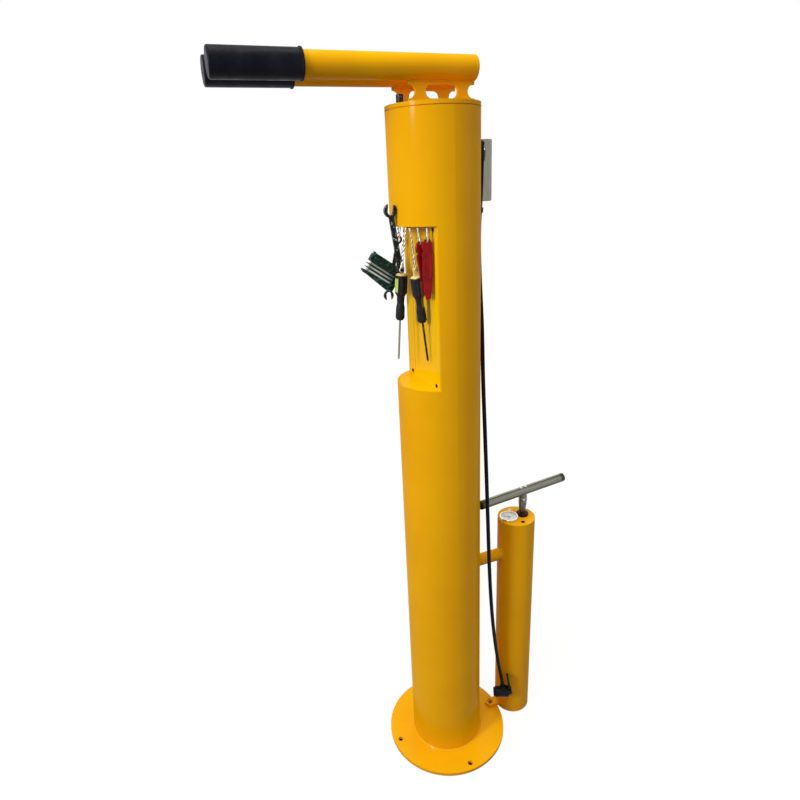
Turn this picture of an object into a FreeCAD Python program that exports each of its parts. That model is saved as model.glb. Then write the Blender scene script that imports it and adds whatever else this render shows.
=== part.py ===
import FreeCAD, Part
import math
import os

V = FreeCAD.Vector
ORIGIN = V(0, 0, 0)
X_AXIS = V(1, 0, 0)
Y_AXIS = V(0, 1, 0)
Z_AXIS = V(0, 0, 1)

# Clearances
running_clear = 0.05
body_clear = 0.3
anchor_hole_clear = 1.0

# Post and base
post_r = 84.15
post_wall = 4.0
post_top = 1436.0
flange_edge = 60.35
flange_r = post_r + flange_edge
flange_t = 8.0
anchor_bolt_r = 5.0
anchor_gap = 43.85
anchor_ring_r = post_r + anchor_gap
anchor_count = 4

# Cap
cap_t = 6.7
cap_gap = 1.3
cap_top = post_top + cap_gap + cap_t
cap_gap_depth = 2.0
spigot_wall = 4.0
spigot_h = 24.0
lock_inset = 7.25
lock_turn = -69.44
lock_r = 6.5
lock_h = 13.0
lock_stud_r = 3.0
lock_stud_l = 5.5

# Hanger arms
arm_x = 36.0
arm_lift = 52.2
arm_z = cap_top + arm_lift
arm_r = 20.0
arm_wall = 2.5
arm_front = -370.0
arm_back = 62.0
sleeve_wall = 2.5
sleeve_inner_y = -234.0
sleeve_end_t = 4.0
sleeve_lip_r = 24.0
sleeve_lip_w = 4.0
sleeve_edge = 3.0

# Arm brackets
web_t = 6.0
web_y = (-60.0, 61.0)
slot_edge = 5.6
slot_r = (arm_lift - arm_r) / 2 - slot_edge
slot_z = cap_top + (arm_lift - arm_r) / 2
slot_centre = 19.25
scallop_centre = 58.75

# Tool window
window_z = (944.0, 1247.0)
window_share = 0.3779
window_y = -window_share * post_r
sheet_t = 3.0
insert_clear = 0.3
insert_r = post_r - post_wall - insert_clear
panel_half = math.sqrt(insert_r ** 2 - window_y ** 2)
panel_margin = 27.2
panel_field_depth = 1.2
panel_field_edge = 5.0
screw_inset = 15.24
panel_screw_x = panel_half - screw_inset
panel_screw_z = (950.0, 1240.0)
screw_lug_t = 6.0

# Screws
screw_head_r = 5.0
screw_head_h = 2.5
screw_shank_r = 2.0
screw_shank_l = 8.0

# Hanger plate and hose outlet on the post's back
hanger_t = 3.0
hanger_reach = 33.85
hanger_drop = 48.0
hanger_l = 108.0
hanger_z = (post_top - hanger_drop - hanger_l, post_top - hanger_drop)
hanger_corner = 3.0
hanger_slot_gap = 16.2
hanger_slot_w = 4.6
hanger_slot_drop = 15.5
hanger_slot_l = 15.0
hanger_slot_top = hanger_z[1] - hanger_slot_drop
hanger_slot_z = (hanger_slot_top - hanger_slot_l, hanger_slot_top)
outlet_x = 10.5
outlet_gap = 7.85
outlet_below_top = 56.0
outlet = V(outlet_x, post_r + outlet_gap, post_top - outlet_below_top)
outlet_r = 5.0
outlet_drop = 14.0
outlet_depth = 20.0
outlet_nut_af = 16.0
outlet_nut_t = 4.0
ferrule_wall = 1.3
ferrule_l = 15.0

# Gauge
gauge_r = 18.5
gauge_depth = 18.0
gauge_wall = 1.5
bezel_lip = 3.0
bezel_r = gauge_r + bezel_lip
bezel_floor = 1.0
bezel_h = 6.0
dial_edge = 1.0
dial_r = gauge_r + dial_edge
dial_t = 1.0
glass_t = 1.5
needle_l = 15.0
needle_hub_r = 1.5
needle_t = 0.8
needle_lift = 0.5
stem_r = 5.0
stem_l = 14.0

# Pump inside
rod_r = 5.5
barrel_r = 16.5
barrel_wall = 2.5
barrel_foot_t = 6.0
piston_z = (32.0, 54.0)
piston_groove_r = 11.0
piston_groove_z = (40.0, 46.0)
gland_r = barrel_r - barrel_wall
gland_h = 6.0
gland_wall = 5.5
gland_shank_r = rod_r + gland_wall
gland_shank_l = 14.0

# Pump casing, sized to hold the gauge in front of the rod
gauge_gap = 1.3
gauge_rim_gap = 2.3
gland_rim_gap = 12.9
rod_to_gauge = gauge_r + barrel_r + gauge_gap
casing_r = (gauge_rim_gap + bezel_r + rod_to_gauge + gland_r + gland_rim_gap) / 2
casing_wall = 3.0
casing_gap = 65.75
casing_y = post_r + casing_gap + casing_r
casing_top = 568.0
casing_foot_t = 4.0
rod_above_casing = 38.0
rod_top = casing_top + rod_above_casing
gauge_y = casing_y - casing_r + gauge_rim_gap + bezel_r
rod_y = gauge_y + rod_to_gauge
top_plate_t = 6.0
top_screw_x = 29.0
top_screw_r = 5.2
screw_boss_r = 6.0
screw_boss_h = 20.0
lug_t = 8.0
lug_r = 12.0
lug_ring_r = (8.2, 11.7)
lug_ring_h = 2.5
strut_r = 14.0
strut_wall = 2.5
strut_drop = 92.5
strut_z = casing_top - strut_drop

# Hose and its route from the outlet to the pump head
hose_r = 4.25
bend_share = 0.45
head_gap = 8.9
head_neck_top = 20.0
head_at = V(40.0, casing_y - casing_r - head_gap, 85.0)
hose_route = [
    V(outlet.x, outlet.y, outlet.z - outlet_drop),
    V(10.0, post_r + 6.85, 1300.0),
    V(3.0, post_r + 5.4, 1230.0),
    V(7.0, post_r + 5.1, 1150.0),
    V(24.5, post_r + 1.9, 1045.0),
    V(31.0, post_r + 0.55, 940.0),
    V(40.0, post_r + 0.55, 830.0),
    V(45.5, post_r + 2.35, 715.0),
    V(49.0, post_r + 4.85, 600.0),
    V(49.5, post_r + 8.85, 485.0),
    V(46.5, post_r + 16.85, 375.0),
    V(42.5, post_r + 28.35, 275.0),
    V(38.5, head_at.y - 14.0, 187.0),
    V(38.2, head_at.y - 4.5, 137.0),
    V(head_at.x, head_at.y, head_at.z + head_neck_top),
]
clip_wall = 2.0
clip_w = 9.0
clip_foot_t = 4.0

# Pump handle
bar_r = 10.25
bar_wall = 2.0
bar_gap = 5.85
bar_l = 2 * (rod_y - post_r - bar_gap)
bar_lift = 63.5
bar_z = casing_top + bar_lift
bar_turn = 7.0
plug_t = 2.0
plug_shank_l = 14.0
clevis_gap = 1.5
clevis_foot_r = 6.6
clevis_r = 9.5
clevis_shoulder_drop = 31.5
clevis_shoulder_z = bar_z - clevis_shoulder_drop
handle_bolt_x = 6.5
handle_bolt_r = 2.0
handle_dome_r = 4.0
handle_dome_h = 2.4
cross_screw_drop = 18.5
cross_screw_z = bar_z - cross_screw_drop
cross_screw_x = 4.5
cross_screw_r = 2.4
cross_screw_h = 1.6

# Air line inside
air_r = 3.0
air_bend = 25.0
air_start_z = 24.0
air_post_y = 50.0

# Pump head
head_turn = -24.87
head_r = 13.0
head_y = (-20.0, 16.0)
head_neck_r = 7.0
head_edge = 2.5
seal_r = 8.0
seal_hole_r = 3.5
seal_depth = 9.0
ear_x = (6.0, 9.0)
ear_r = 6.0
pivot_y = 17.0
pivot_z = 5.0
pivot_r = 2.5
lever_l = 50.0
lever_lean = 10.0
lever_t = 4.5

# Tethers
pivot_drop = 3.5
cable_r = 1.0
ball_r = 2.2
loop_r = 6.0
loop_wire_r = 1.1
ferrule_r = 2.5
cable_ferrule_l = 9.0
eye_r = 2.2
eye_edge = 4.0
grommet_r = 3.0
grommet_flange_r = 4.4
grommet_flange_t = 1.0
grommet_bore_clear = 1.0

# Tether places in the header, as shares of the post's radius
tether_share = {
    "spanner": (-0.6536, -0.5704),
    "hex": (-0.5324, -0.6774),
    "driver_left": (-0.1426, -0.7094),
    "wrench": (0.2591, -0.8081),
    "driver_right": (0.4040, -0.7843),
    "lever_left": (0.5811, -0.6774),
    "lever_right": (0.7154, -0.5276),
}
tether_at = {name: (post_r * x, post_r * y) for name, (x, y) in tether_share.items()}

# Guide bar and weights inside the post
guide_y = -30.0
guide_below_top = 36.0
guide_z = post_top - guide_below_top
guide_r = 8.0
weight_r = 4.4
weight_drop = 250.0
weight_l = 190.0
weight_z = (guide_z - weight_drop - weight_l, guide_z - weight_drop)

# Screwdrivers
driver_eye = 73.6
driver_tab = (5.0, 9.0)
driver_top = 84.5
driver_profile = [(0.0, 8.0), (2.5, 10.6), (6.0, 11.75), (35.0, 11.75), (43.0, 7.6), (56.0, 6.9)]
driver_profile += [(64.0, 8.5), (84.0, 8.8), (88.0, 6.0)]
driver_flutes = 6
driver_flute_r = 5.0
driver_flute_at = 15.5
driver_flute_z = (8.0, 40.0)
blade_r = 2.0
blade_end = 251.0
blade_root = 72.0
blade_tip_l = 9.0
driver_lean = {"left": 4.8, "right": -6.4}

# Tyre levers
lever_width = 18.5
lever_thick = 5.0
lever_long = 104.0
lever_eye = {"left": 26.5, "right": 22.0}
lever_loop_r = {"left": 4.5, "right": 4.5}
lever_out = {"left": -7.5, "right": 0.7}
lever_yaw = {"left": 90.0, "right": 80.0}
lever_notch_r = 2.6
lever_field = (9.0, 40.0, 0.8)

# Chrome spanner
spanner_t = 4.0
spanner_ring_r = 8.0
spanner_hole_r = 4.5
spanner_eye = 23.5
spanner_slack = 0.5
spanner_l = 108.0
spanner_shank = 7.0
spanner_head_r = 10.0
spanner_jaw = 10.0
spanner_lean = 13.3

# Black wrench
wrench_x = 15.0
wrench_inset = 3.9
wrench_drop = 76.0
wrench_at = V(wrench_x, wrench_inset - post_r, window_z[1] - wrench_drop)
wrench_t = 5.0
wrench_tail_r = 6.5
wrench_l = 104.9
wrench_shank = 9.6
wrench_panel = (2.8, 0.5)
wrench_panel_ends = (10.0, 16.0)
wrench_head_r = 12.0
wrench_jaw = 10.5
wrench_swing = -171.95
jaw_angle = 15.0
terminal_gap = 0.3
terminal_t = 3.0
terminal_r = 4.5
rivet_r = 2.0
rivet_head_r = 3.4
rivet_head_t = 1.1

# Hex key holder, in its own frame: x across, y along from the inner end, z across the keys
hex_x = -43.0
hex_inset = 11.25
hex_drop = 96.9
hex_at = V(hex_x, hex_inset - post_r, window_z[1] - hex_drop)
hex_turn = 145.0
hex_t = 11.0
hex_outline = [(-10.0, -15.0), (-5.0, -20.0), (57.5, -20.0), (61.5, -16.0), (61.5, 16.6)]
hex_outline += [(65.0, 16.6), (65.0, 19.0), (62.5, 21.0), (-4.0, 29.5), (-10.0, 25.0)]
hex_chamfer = 0.8
hex_groove = (1.8, 1.0)
hex_groove_y = (5.0, 54.0)
hex_groove_z = (-14.6, -8.0)
hex_root = 1.0
hex_open = 70.0
hex_eye = (-4.4, -9.0)
hex_pin_y = 58.0
hex_pin_z = (-20.0, 21.2)
hex_pin_head_t = 1.2
key_af = (4.0, 4.5, 5.0)
key_first = 0.4
key_pitch = 6.9
key_clear = 0.4
key_reach = 56.0
key_eye_r = 5.4


def unit(vector):
    """Return the vector scaled to a length of one."""
    return V(vector).normalize()


def cylinder(radius, height, base, axis=Z_AXIS):
    """Return a solid cylinder that starts at base and runs along axis."""
    return Part.makeCylinder(radius, height, base, axis)


def tube(outer, inner, height, base, axis=Z_AXIS):
    """Return a round tube that starts at base and runs along axis."""
    return cylinder(outer, height, base, axis).cut(cylinder(inner, height, base, axis))


def block(x, y, z):
    """Return a box between pairs of limits."""
    return Part.makeBox(x[1] - x[0], y[1] - y[0], z[1] - z[0], V(x[0], y[0], z[0]))


def join(shapes):
    """Fuse touching shapes into one clean solid."""
    fused = shapes[0].fuse(shapes[1:])
    return fused.removeSplitter()


def group(shapes):
    """Keep shapes together as separate solids of one node."""
    solids = []
    for shape in shapes:
        solids += shape.Solids
    return Part.makeCompound(solids)


def turned(shape, angle, axis=X_AXIS, about=ORIGIN):
    """Return a copy of the shape turned about an axis."""
    copy = shape.copy()
    copy.rotate(about, axis, angle)
    return copy


def moved(shape, offset):
    """Return a copy of the shape moved by an offset."""
    copy = shape.copy()
    copy.translate(offset)
    return copy


def extrude(points, depth):
    """Return the solid swept by a closed outline moved through depth."""
    face = Part.Face(Part.makePolygon(points + points[:1]))
    return face.extrude(depth)


def spun(profile, base, axis_down=True):
    """Spin (distance, radius) pairs about a vertical axis through base."""
    sign = -1.0 if axis_down else 1.0
    outline = [V(r, 0, sign * d) for d, r in profile]
    outline.append(V(0, 0, sign * profile[-1][0]))
    outline.append(V(0, 0, sign * profile[0][0]))
    face = Part.Face(Part.makePolygon(outline + outline[:1]))
    return moved(face.revolve(ORIGIN, Z_AXIS, 360), base)


def obround(x, half_length, radius, z, y=0.0, depth=1.0):
    """Return a slot cutter with round ends in a plate that faces along X."""
    ends = [cylinder(radius, depth, V(x, y + s * half_length, z), X_AXIS) for s in (-1, 1)]
    middle = block((x, x + depth), (y - half_length, y + half_length), (z - radius, z + radius))
    return join(ends + [middle])


def dome(radius, height, base, axis):
    """Return a button head: a low slice of a ball that stands on base."""
    ball_radius = (radius ** 2 + height ** 2) / (2 * height)
    centre = base + unit(axis) * (height - ball_radius)
    ball = Part.makeSphere(ball_radius, centre)
    return ball.common(cylinder(radius * 1.2, height, base, axis))


def screw(base, axis, head_r=screw_head_r, head_h=screw_head_h):
    """Return a button-head screw whose head stands on base."""
    shank = cylinder(screw_shank_r, screw_shank_l, base, axis * -1)
    return join([dome(head_r, head_h, base, axis), shank])


def cord_wire(points, largest=None):
    """Join straight runs with tangent arcs and return the wire and its radii."""
    edges = []
    radii = []
    start = points[0]
    for before, corner, after in zip(points, points[1:], points[2:]):
        into = corner - before
        out = after - corner
        half = into.getAngle(out) / 2
        radius = bend_share * min(into.Length, out.Length) / math.tan(half)
        if largest is not None:
            radius = min(radius, largest)
        set_back = radius * math.tan(half)
        arc_start = corner - unit(into) * set_back
        arc_end = corner + unit(out) * set_back
        inwards = unit(unit(out) - unit(into))
        middle = corner + inwards * (radius / math.cos(half) - radius)
        edges.append(Part.LineSegment(start, arc_start).toShape())
        edges.append(Part.Arc(arc_start, middle, arc_end).toShape())
        radii.append(radius)
        start = arc_end
    edges.append(Part.LineSegment(start, points[-1]).toShape())
    return Part.Wire(edges), radii


def sweep(wire, start, direction, radius):
    """Sweep a round section along a wire."""
    section = Part.Wire(Part.makeCircle(radius, start, direction))
    return wire.makePipeShell([section], True, False)


def cord(name, points, radius, largest=None):
    """Build a round cord through the points and print its length and bends."""
    wire, radii = cord_wire(points, largest)
    solid = sweep(wire, points[0], points[1] - points[0], radius)
    expected = math.pi * radius ** 2 * wire.Length
    print(name, "length %.1f" % wire.Length, "volume ratio %.4f" % (solid.Volume / expected))
    print(name, "bend radii", [round(r) for r in radii])
    return solid


def hex_prism(across_flats, height, base, axis):
    """Return a hexagonal prism that starts at base, with flats facing X."""
    corner_r = across_flats / math.sqrt(3)
    points = []
    for step in range(6):
        angle = math.radians(60 * step + 30)
        points.append(V(corner_r * math.cos(angle), 0, corner_r * math.sin(angle)))
    prism = extrude(points, V(0, height, 0))
    if axis == Z_AXIS:
        prism = turned(prism, 90)
    return moved(prism, base)


# Post and base


def build_base_flange():
    plate = cylinder(flange_r, flange_t, ORIGIN)
    hole_r = anchor_bolt_r + anchor_hole_clear
    for step in range(anchor_count):
        angle = math.radians(360.0 / anchor_count * step)
        at = V(anchor_ring_r * math.cos(angle), anchor_ring_r * math.sin(angle), 0)
        plate = plate.cut(cylinder(hole_r, flange_t, at))
    return plate


def inside_post(shape):
    """Trim a shape to the inner wall of the post."""
    return shape.common(cylinder(post_r - post_wall, cap_top, ORIGIN))


def screw_lugs():
    """Return the small tabs inside the post that take the panel screws."""
    back = window_y + sheet_t
    lugs = []
    for side in (-1, 1):
        x = sorted((side * (panel_screw_x - 7), side * post_r))
        for z in panel_screw_z:
            tab = block(x, (back, back + screw_lug_t), (z - 6, z + 6))
            lugs.append(tab.common(cylinder(post_r - post_wall / 2, cap_top, ORIGIN)))
    return lugs


def panel_screw_points():
    """Return where the panel screws sit on the window's back panel."""
    return [V(s * panel_screw_x, window_y, z) for s in (-1, 1) for z in panel_screw_z]


def build_post_tube():
    shell = tube(post_r, post_r - post_wall, post_top - flange_t, V(0, 0, flange_t))
    opening = block((-post_r, post_r), (-post_r, window_y), window_z)
    shell = shell.cut(opening)
    shell = join([shell] + screw_lugs())
    holes = [cylinder(outlet_r, post_r, V(outlet.x, 0, outlet.z), Y_AXIS)]
    holes.append(cylinder(strut_r - strut_wall, post_r, V(0, 0, strut_z), Y_AXIS))
    for at in panel_screw_points():
        holes.append(cylinder(screw_shank_r, screw_shank_l, at, Y_AXIS))
    return shell.cut(holes)


def build_window_insert():
    low = window_z[0] - sheet_t
    high = window_z[1] + sheet_t
    back = window_y + sheet_t
    panel = block((-post_r, post_r), (window_y, back), (low, high))
    sill = block((-post_r, post_r), (-post_r, back), (low, window_z[0]))
    header = block((-post_r, post_r), (-post_r, back), (window_z[1], high))
    sheet = join([panel, sill, header]).common(cylinder(insert_r, cap_top, ORIGIN))
    field_x = panel_half - panel_margin
    field_z = (window_z[0] + panel_field_edge, window_z[1] - panel_field_edge)
    field = block((-field_x, field_x), (window_y, window_y + panel_field_depth), field_z)
    holes = [cylinder(screw_shank_r, sheet_t, at, Y_AXIS) for at in panel_screw_points()]
    holes.append(field)
    for x, y in tether_at.values():
        holes.append(cylinder(grommet_r, sheet_t, V(x, y, window_z[1])))
    return sheet.cut(holes)


def build_cover_screws():
    screws = [screw(at, Y_AXIS * -1) for at in panel_screw_points()]
    for side in (-1, 1):
        at = V(side * top_screw_x, casing_y, casing_top)
        screws.append(screw(at, Z_AXIS, top_screw_r))
    return group(screws)


def build_tether_grommets():
    grommets = []
    under = window_z[1] - grommet_flange_t
    over = window_z[1] + sheet_t
    for x, y in tether_at.values():
        body = cylinder(grommet_r, sheet_t, V(x, y, window_z[1]))
        lower = cylinder(grommet_flange_r, grommet_flange_t, V(x, y, under))
        upper = cylinder(grommet_flange_r, grommet_flange_t, V(x, y, over))
        bore = cylinder(cable_r + grommet_bore_clear, 3 * sheet_t, V(x, y, under))
        grommets.append(join([body, lower, upper]).cut(bore))
    return group(grommets)


# Cables and weights inside the post


def build_cable_guide_bar():
    base = V(-post_r, guide_y, guide_z)
    return inside_post(cylinder(guide_r, 2 * post_r, base, X_AXIS))


def tangent_point(y, z):
    """Return where a line from (y, z) meets the cable's bend on its front side."""
    bend = guide_r + cable_r
    dy = y - guide_y
    dz = z - guide_z
    far = math.hypot(dy, dz)
    towards = math.atan2(dz, dy)
    angle = towards - math.acos(bend / far)
    return guide_y + bend * math.cos(angle), guide_z + bend * math.sin(angle)


def build_tether_runs():
    runs = []
    bend = guide_r + cable_r
    start_z = window_z[1] - grommet_flange_t
    for name, (x, y) in tether_at.items():
        start = V(x, y, start_z)
        meet = V(x, *tangent_point(y, start_z))
        top = V(x, guide_y, guide_z + bend)
        back = V(x, guide_y + bend, guide_z)
        end = V(x, guide_y + bend, weight_z[1])
        edges = [Part.LineSegment(start, meet).toShape()]
        edges.append(Part.Arc(meet, top, back).toShape())
        edges.append(Part.LineSegment(back, end).toShape())
        wire = Part.Wire(edges)
        runs.append(sweep(wire, start, meet - start, cable_r))
        print("tether run", name, "length %.1f" % wire.Length)
    return group(runs)


def build_tether_weights():
    weights = []
    for x, _ in tether_at.values():
        at = V(x, guide_y + guide_r + cable_r, weight_z[0])
        weights.append(cylinder(weight_r, weight_z[1] - weight_z[0], at))
    return group(weights)


# Cap and arms


def lock_point(z):
    """Return a point on the lock bolt's axis."""
    angle = math.radians(lock_turn)
    reach = post_r - lock_inset
    return V(reach * math.cos(angle), reach * math.sin(angle), z)


def build_cap_plate():
    under = cap_top - cap_t
    plate = cylinder(post_r, cap_t, V(0, 0, under))
    inner = post_r - post_wall - insert_clear - spigot_wall
    seat = tube(post_r - cap_gap_depth, inner, cap_gap, V(0, 0, under - cap_gap))
    spigot = tube(inner + spigot_wall, inner, spigot_h, V(0, 0, under - cap_gap - spigot_h))
    stud = cylinder(lock_stud_r, lock_stud_l, lock_point(cap_top - lock_stud_l))
    return join([plate, seat, spigot]).cut(stud)


def build_cap_lock_bolt():
    knob = cylinder(lock_r, lock_h, lock_point(cap_top))
    edges = [e for e in knob.Edges if e.BoundBox.ZMin > cap_top + lock_h - 0.1]
    knob = knob.makeFillet(1.5, edges)
    return join([knob, cylinder(lock_stud_r, lock_stud_l, lock_point(cap_top - lock_stud_l))])


def build_arm_bracket(side):
    x = side * arm_x - web_t / 2
    web = block((x, x + web_t), web_y, (cap_top, arm_z))
    web = web.cut(cylinder(arm_r, arm_back - arm_front, V(side * arm_x, arm_front, arm_z), Y_AXIS))
    cutters = [obround(x, slot_centre, slot_r, slot_z, depth=web_t)]
    for end in (-1, 1):
        cutters.append(cylinder(slot_r, web_t, V(x, end * scallop_centre, slot_z), X_AXIS))
    return web.cut(cutters)


def build_arm_tube(side):
    base = V(side * arm_x, arm_front, arm_z)
    outer = cylinder(arm_r, arm_back - arm_front, base, Y_AXIS)
    hollow = cylinder(arm_r - arm_wall, arm_back - arm_front - arm_wall, base, Y_AXIS)
    return outer.cut(hollow)


def build_arm_sleeve(side):
    front = arm_front - sleeve_end_t
    length = sleeve_inner_y - front
    outer = cylinder(arm_r + sleeve_wall, length, V(side * arm_x, front, arm_z), Y_AXIS)
    edges = [e for e in outer.Edges if e.BoundBox.YMax < front + 0.1]
    outer = outer.makeFillet(sleeve_edge, edges)
    lip_base = V(side * arm_x, sleeve_inner_y - sleeve_lip_w, arm_z)
    lip = cylinder(sleeve_lip_r, sleeve_lip_w, lip_base, Y_AXIS)
    rim = [e for e in lip.Edges if e.BoundBox.YMax - e.BoundBox.YMin < 0.1]
    lip = lip.makeFillet(1.2, rim)
    bore = cylinder(arm_r, length, V(side * arm_x, arm_front, arm_z), Y_AXIS)
    return join([outer, lip]).cut(bore)


# Hanger plate, outlet and hose


def build_hanger_plate():
    half = hanger_t / 2
    edge = post_r + hanger_reach
    plate = block((-half, half), (0, edge), hanger_z)
    corners = [e for e in plate.Edges if e.BoundBox.YMin > edge - 0.1 and e.Length < hanger_t + 0.1]
    plate = plate.makeFillet(hanger_corner, corners)
    slot_y = post_r + hanger_slot_gap
    slot = block((-half, half), (slot_y, slot_y + hanger_slot_w), hanger_slot_z)
    return plate.cut([cylinder(post_r, cap_top, ORIGIN), slot])


def build_outlet_elbow():
    inside_y = outlet.y - outlet_depth
    shank = cylinder(outlet_r, outlet_depth, V(outlet.x, inside_y, outlet.z), Y_AXIS)
    corner = Part.makeSphere(outlet_r, outlet)
    barb_base = V(outlet.x, outlet.y, outlet.z - outlet_drop)
    barb = cylinder(hose_r, outlet_drop, barb_base)
    nut = hex_prism(outlet_nut_af, outlet_nut_t, V(outlet.x, post_r, outlet.z), Y_AXIS)
    direction = unit(hose_route[1] - hose_route[0])
    sleeve = cylinder(hose_r + ferrule_wall, ferrule_l, barb_base + direction * ferrule_l,
                      direction * -1)
    hose_end = cylinder(hose_r, ferrule_l, barb_base, direction)
    collar = cylinder(hose_r + ferrule_wall, 3.0, barb_base)
    return join([shank, corner, barb, nut, collar, sleeve]).cut(hose_end)


def build_hose():
    return cord("hose", hose_route, hose_r)


def build_hose_clip(hose):
    direction = unit(hose_route[2] - hose_route[1])
    middle = (hose_route[1] + hose_route[2]) * 0.5
    base = middle - direction * (clip_w / 2)
    band = cylinder(hose_r + clip_wall, clip_w, base, direction)
    foot = block((middle.x - clip_foot_t, middle.x + clip_foot_t), (0, middle.y),
                 (middle.z - clip_w / 2, middle.z + clip_w / 2))
    foot = foot.cut(cylinder(post_r, cap_top, ORIGIN))
    return join([band, foot]).cut(hose)


# Pump


def casing_axis(z):
    """Return a point on the casing's axis."""
    return V(0, casing_y, z)


def rod_axis(z):
    """Return a point on the rod's axis."""
    return V(0, rod_y, z)


def build_pump_casing():
    inner = casing_r - casing_wall
    height = casing_top - top_plate_t
    shell = tube(casing_r, inner, height, casing_axis(0))
    foot = cylinder(casing_r, casing_foot_t, casing_axis(0))
    bosses = []
    for side in (-1, 1):
        x = sorted((side * (top_screw_x - screw_boss_r), side * casing_r))
        z = (height - screw_boss_h, height)
        tab = block(x, (casing_y - screw_boss_r, casing_y + screw_boss_r), z)
        bosses.append(tab.common(cylinder(casing_r - casing_wall / 2, height, casing_axis(0))))
    body = join([shell, foot] + bosses)
    holes = [cylinder(strut_r - strut_wall, casing_y, V(0, 0, strut_z), Y_AXIS)]
    for side in (-1, 1):
        at = V(side * top_screw_x, casing_y, casing_top)
        holes.append(cylinder(screw_shank_r, screw_shank_l, at, Z_AXIS * -1))
    return body.cut(holes)


def build_pump_lug():
    at = V(0, anchor_ring_r, flange_t)
    strap = block((-lug_r, lug_r), (anchor_ring_r, casing_y), (flange_t, flange_t + lug_t))
    strap = strap.cut(cylinder(casing_r, casing_top, casing_axis(0)))
    end = cylinder(lug_r, lug_t, at)
    ring = tube(lug_ring_r[1], lug_ring_r[0], lug_ring_h, at + V(0, 0, lug_t))
    hole = cylinder(anchor_bolt_r + anchor_hole_clear, lug_t, at)
    return join([strap, end, ring]).cut(hole)


def build_pump_top_plate():
    plate = cylinder(casing_r, top_plate_t, casing_axis(casing_top - top_plate_t))
    cutters = [cylinder(gland_shank_r, casing_top, rod_axis(0))]
    cutters.append(cylinder(gauge_r, casing_top, V(0, gauge_y, 0)))
    for side in (-1, 1):
        at = V(side * top_screw_x, casing_y, 0)
        cutters.append(cylinder(screw_shank_r, casing_top, at))
    return plate.cut(cutters)


def build_rod_gland():
    collar = cylinder(gland_r, gland_h, rod_axis(casing_top))
    edges = [e for e in collar.Edges if e.BoundBox.ZMin > casing_top + gland_h - 0.1]
    collar = collar.makeFillet(1.5, edges)
    shank = cylinder(gland_shank_r, gland_shank_l, rod_axis(casing_top - gland_shank_l))
    bore = cylinder(rod_r + running_clear, casing_top, rod_axis(casing_top / 2))
    return join([collar, shank]).cut(bore)


def build_pump_barrel():
    height = casing_top - top_plate_t - casing_foot_t
    shell = tube(barrel_r, barrel_r - barrel_wall, height, rod_axis(casing_foot_t))
    foot = cylinder(barrel_r, barrel_foot_t, rod_axis(casing_foot_t))
    port = cylinder(air_r, barrel_r, V(0, rod_y - barrel_r, air_start_z), Y_AXIS)
    return join([shell, foot]).cut(port)


def build_piston():
    bore = barrel_r - barrel_wall
    body = cylinder(bore - body_clear, piston_z[1] - piston_z[0], rod_axis(piston_z[0]))
    groove = tube(bore, piston_groove_r, piston_groove_z[1] - piston_groove_z[0],
                  rod_axis(piston_groove_z[0]))
    socket = cylinder(rod_r, piston_z[1] - piston_groove_z[1], rod_axis(piston_groove_z[1]))
    return body.cut([groove, socket])


def build_piston_seal():
    outer = barrel_r - barrel_wall - running_clear
    return tube(outer, piston_groove_r, piston_groove_z[1] - piston_groove_z[0],
                rod_axis(piston_groove_z[0]))


def build_pump_rod():
    return cylinder(rod_r, rod_top - piston_groove_z[1], rod_axis(piston_groove_z[1]))


def handle_place(shape):
    """Turn a shape built along Y into the handle's own direction."""
    return moved(turned(shape, bar_turn, Z_AXIS), rod_axis(0))


def handle_bolts():
    """Return the two bolts that hold the bar on the clevis."""
    bolts = []
    top = bar_z + math.sqrt(bar_r ** 2 - handle_bolt_r ** 2)
    for side in (-1, 1):
        at = V(0, side * handle_bolt_x, top)
        shank = cylinder(handle_bolt_r, 2 * bar_r + 8, at + V(0, 0, -2 * bar_r - 8))
        head = dome(handle_dome_r, handle_dome_h, at, Z_AXIS)
        seat = cylinder(handle_dome_r, 1.0, at + V(0, 0, -1.0))
        seat = seat.cut(handle_bar_rod())
        bolts.append(join([shank, head, seat]))
    return bolts


def handle_bar_rod():
    """Return the full outer cylinder of the bar about the rod's axis."""
    return cylinder(bar_r, bar_l, V(0, -bar_l / 2, bar_z), Y_AXIS)


def cross_screws():
    """Return the two small screws on the clevis below the bar."""
    screws = []
    for side in (-1, 1):
        seat_x = math.sqrt(clevis_r ** 2 - (cross_screw_x + cross_screw_r) ** 2)
        at = V(seat_x, side * cross_screw_x, cross_screw_z)
        head = dome(cross_screw_r, clevis_r - seat_x + cross_screw_h, at, X_AXIS)
        screws.append(head.cut(cylinder(clevis_r, bar_z, ORIGIN)))
    return screws


def build_handle_clevis():
    base = casing_top + gland_h + clevis_gap
    foot = Part.makeCone(clevis_foot_r, clevis_r, clevis_shoulder_z - base, V(0, 0, base))
    head = cylinder(clevis_r, bar_z - clevis_shoulder_z, V(0, 0, clevis_shoulder_z))
    body = join([foot, head]).cut(cylinder(rod_r, rod_top - base, V(0, 0, base)))
    return handle_place(body.cut([handle_bar_rod()] + handle_bolts()))


def build_clevis_bolts():
    return handle_place(group(handle_bolts() + cross_screws()))


def build_handle_bar():
    hollow = cylinder(bar_r - bar_wall, bar_l, V(0, -bar_l / 2, bar_z), Y_AXIS)
    return handle_place(handle_bar_rod().cut([hollow] + handle_bolts()))


def build_handle_end_plugs():
    plugs = []
    for side in (-1, 1):
        end = V(0, side * bar_l / 2, bar_z)
        out = Y_AXIS * side
        cap = cylinder(bar_r - 0.4, plug_t, end, out)
        shank = cylinder(bar_r - bar_wall, plug_shank_l, end, out * -1)
        plugs.append(join([cap, shank]))
    return handle_place(group(plugs))


# Gauge


def gauge_axis(z):
    """Return a point on the gauge's axis."""
    return V(0, gauge_y, z)


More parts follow.
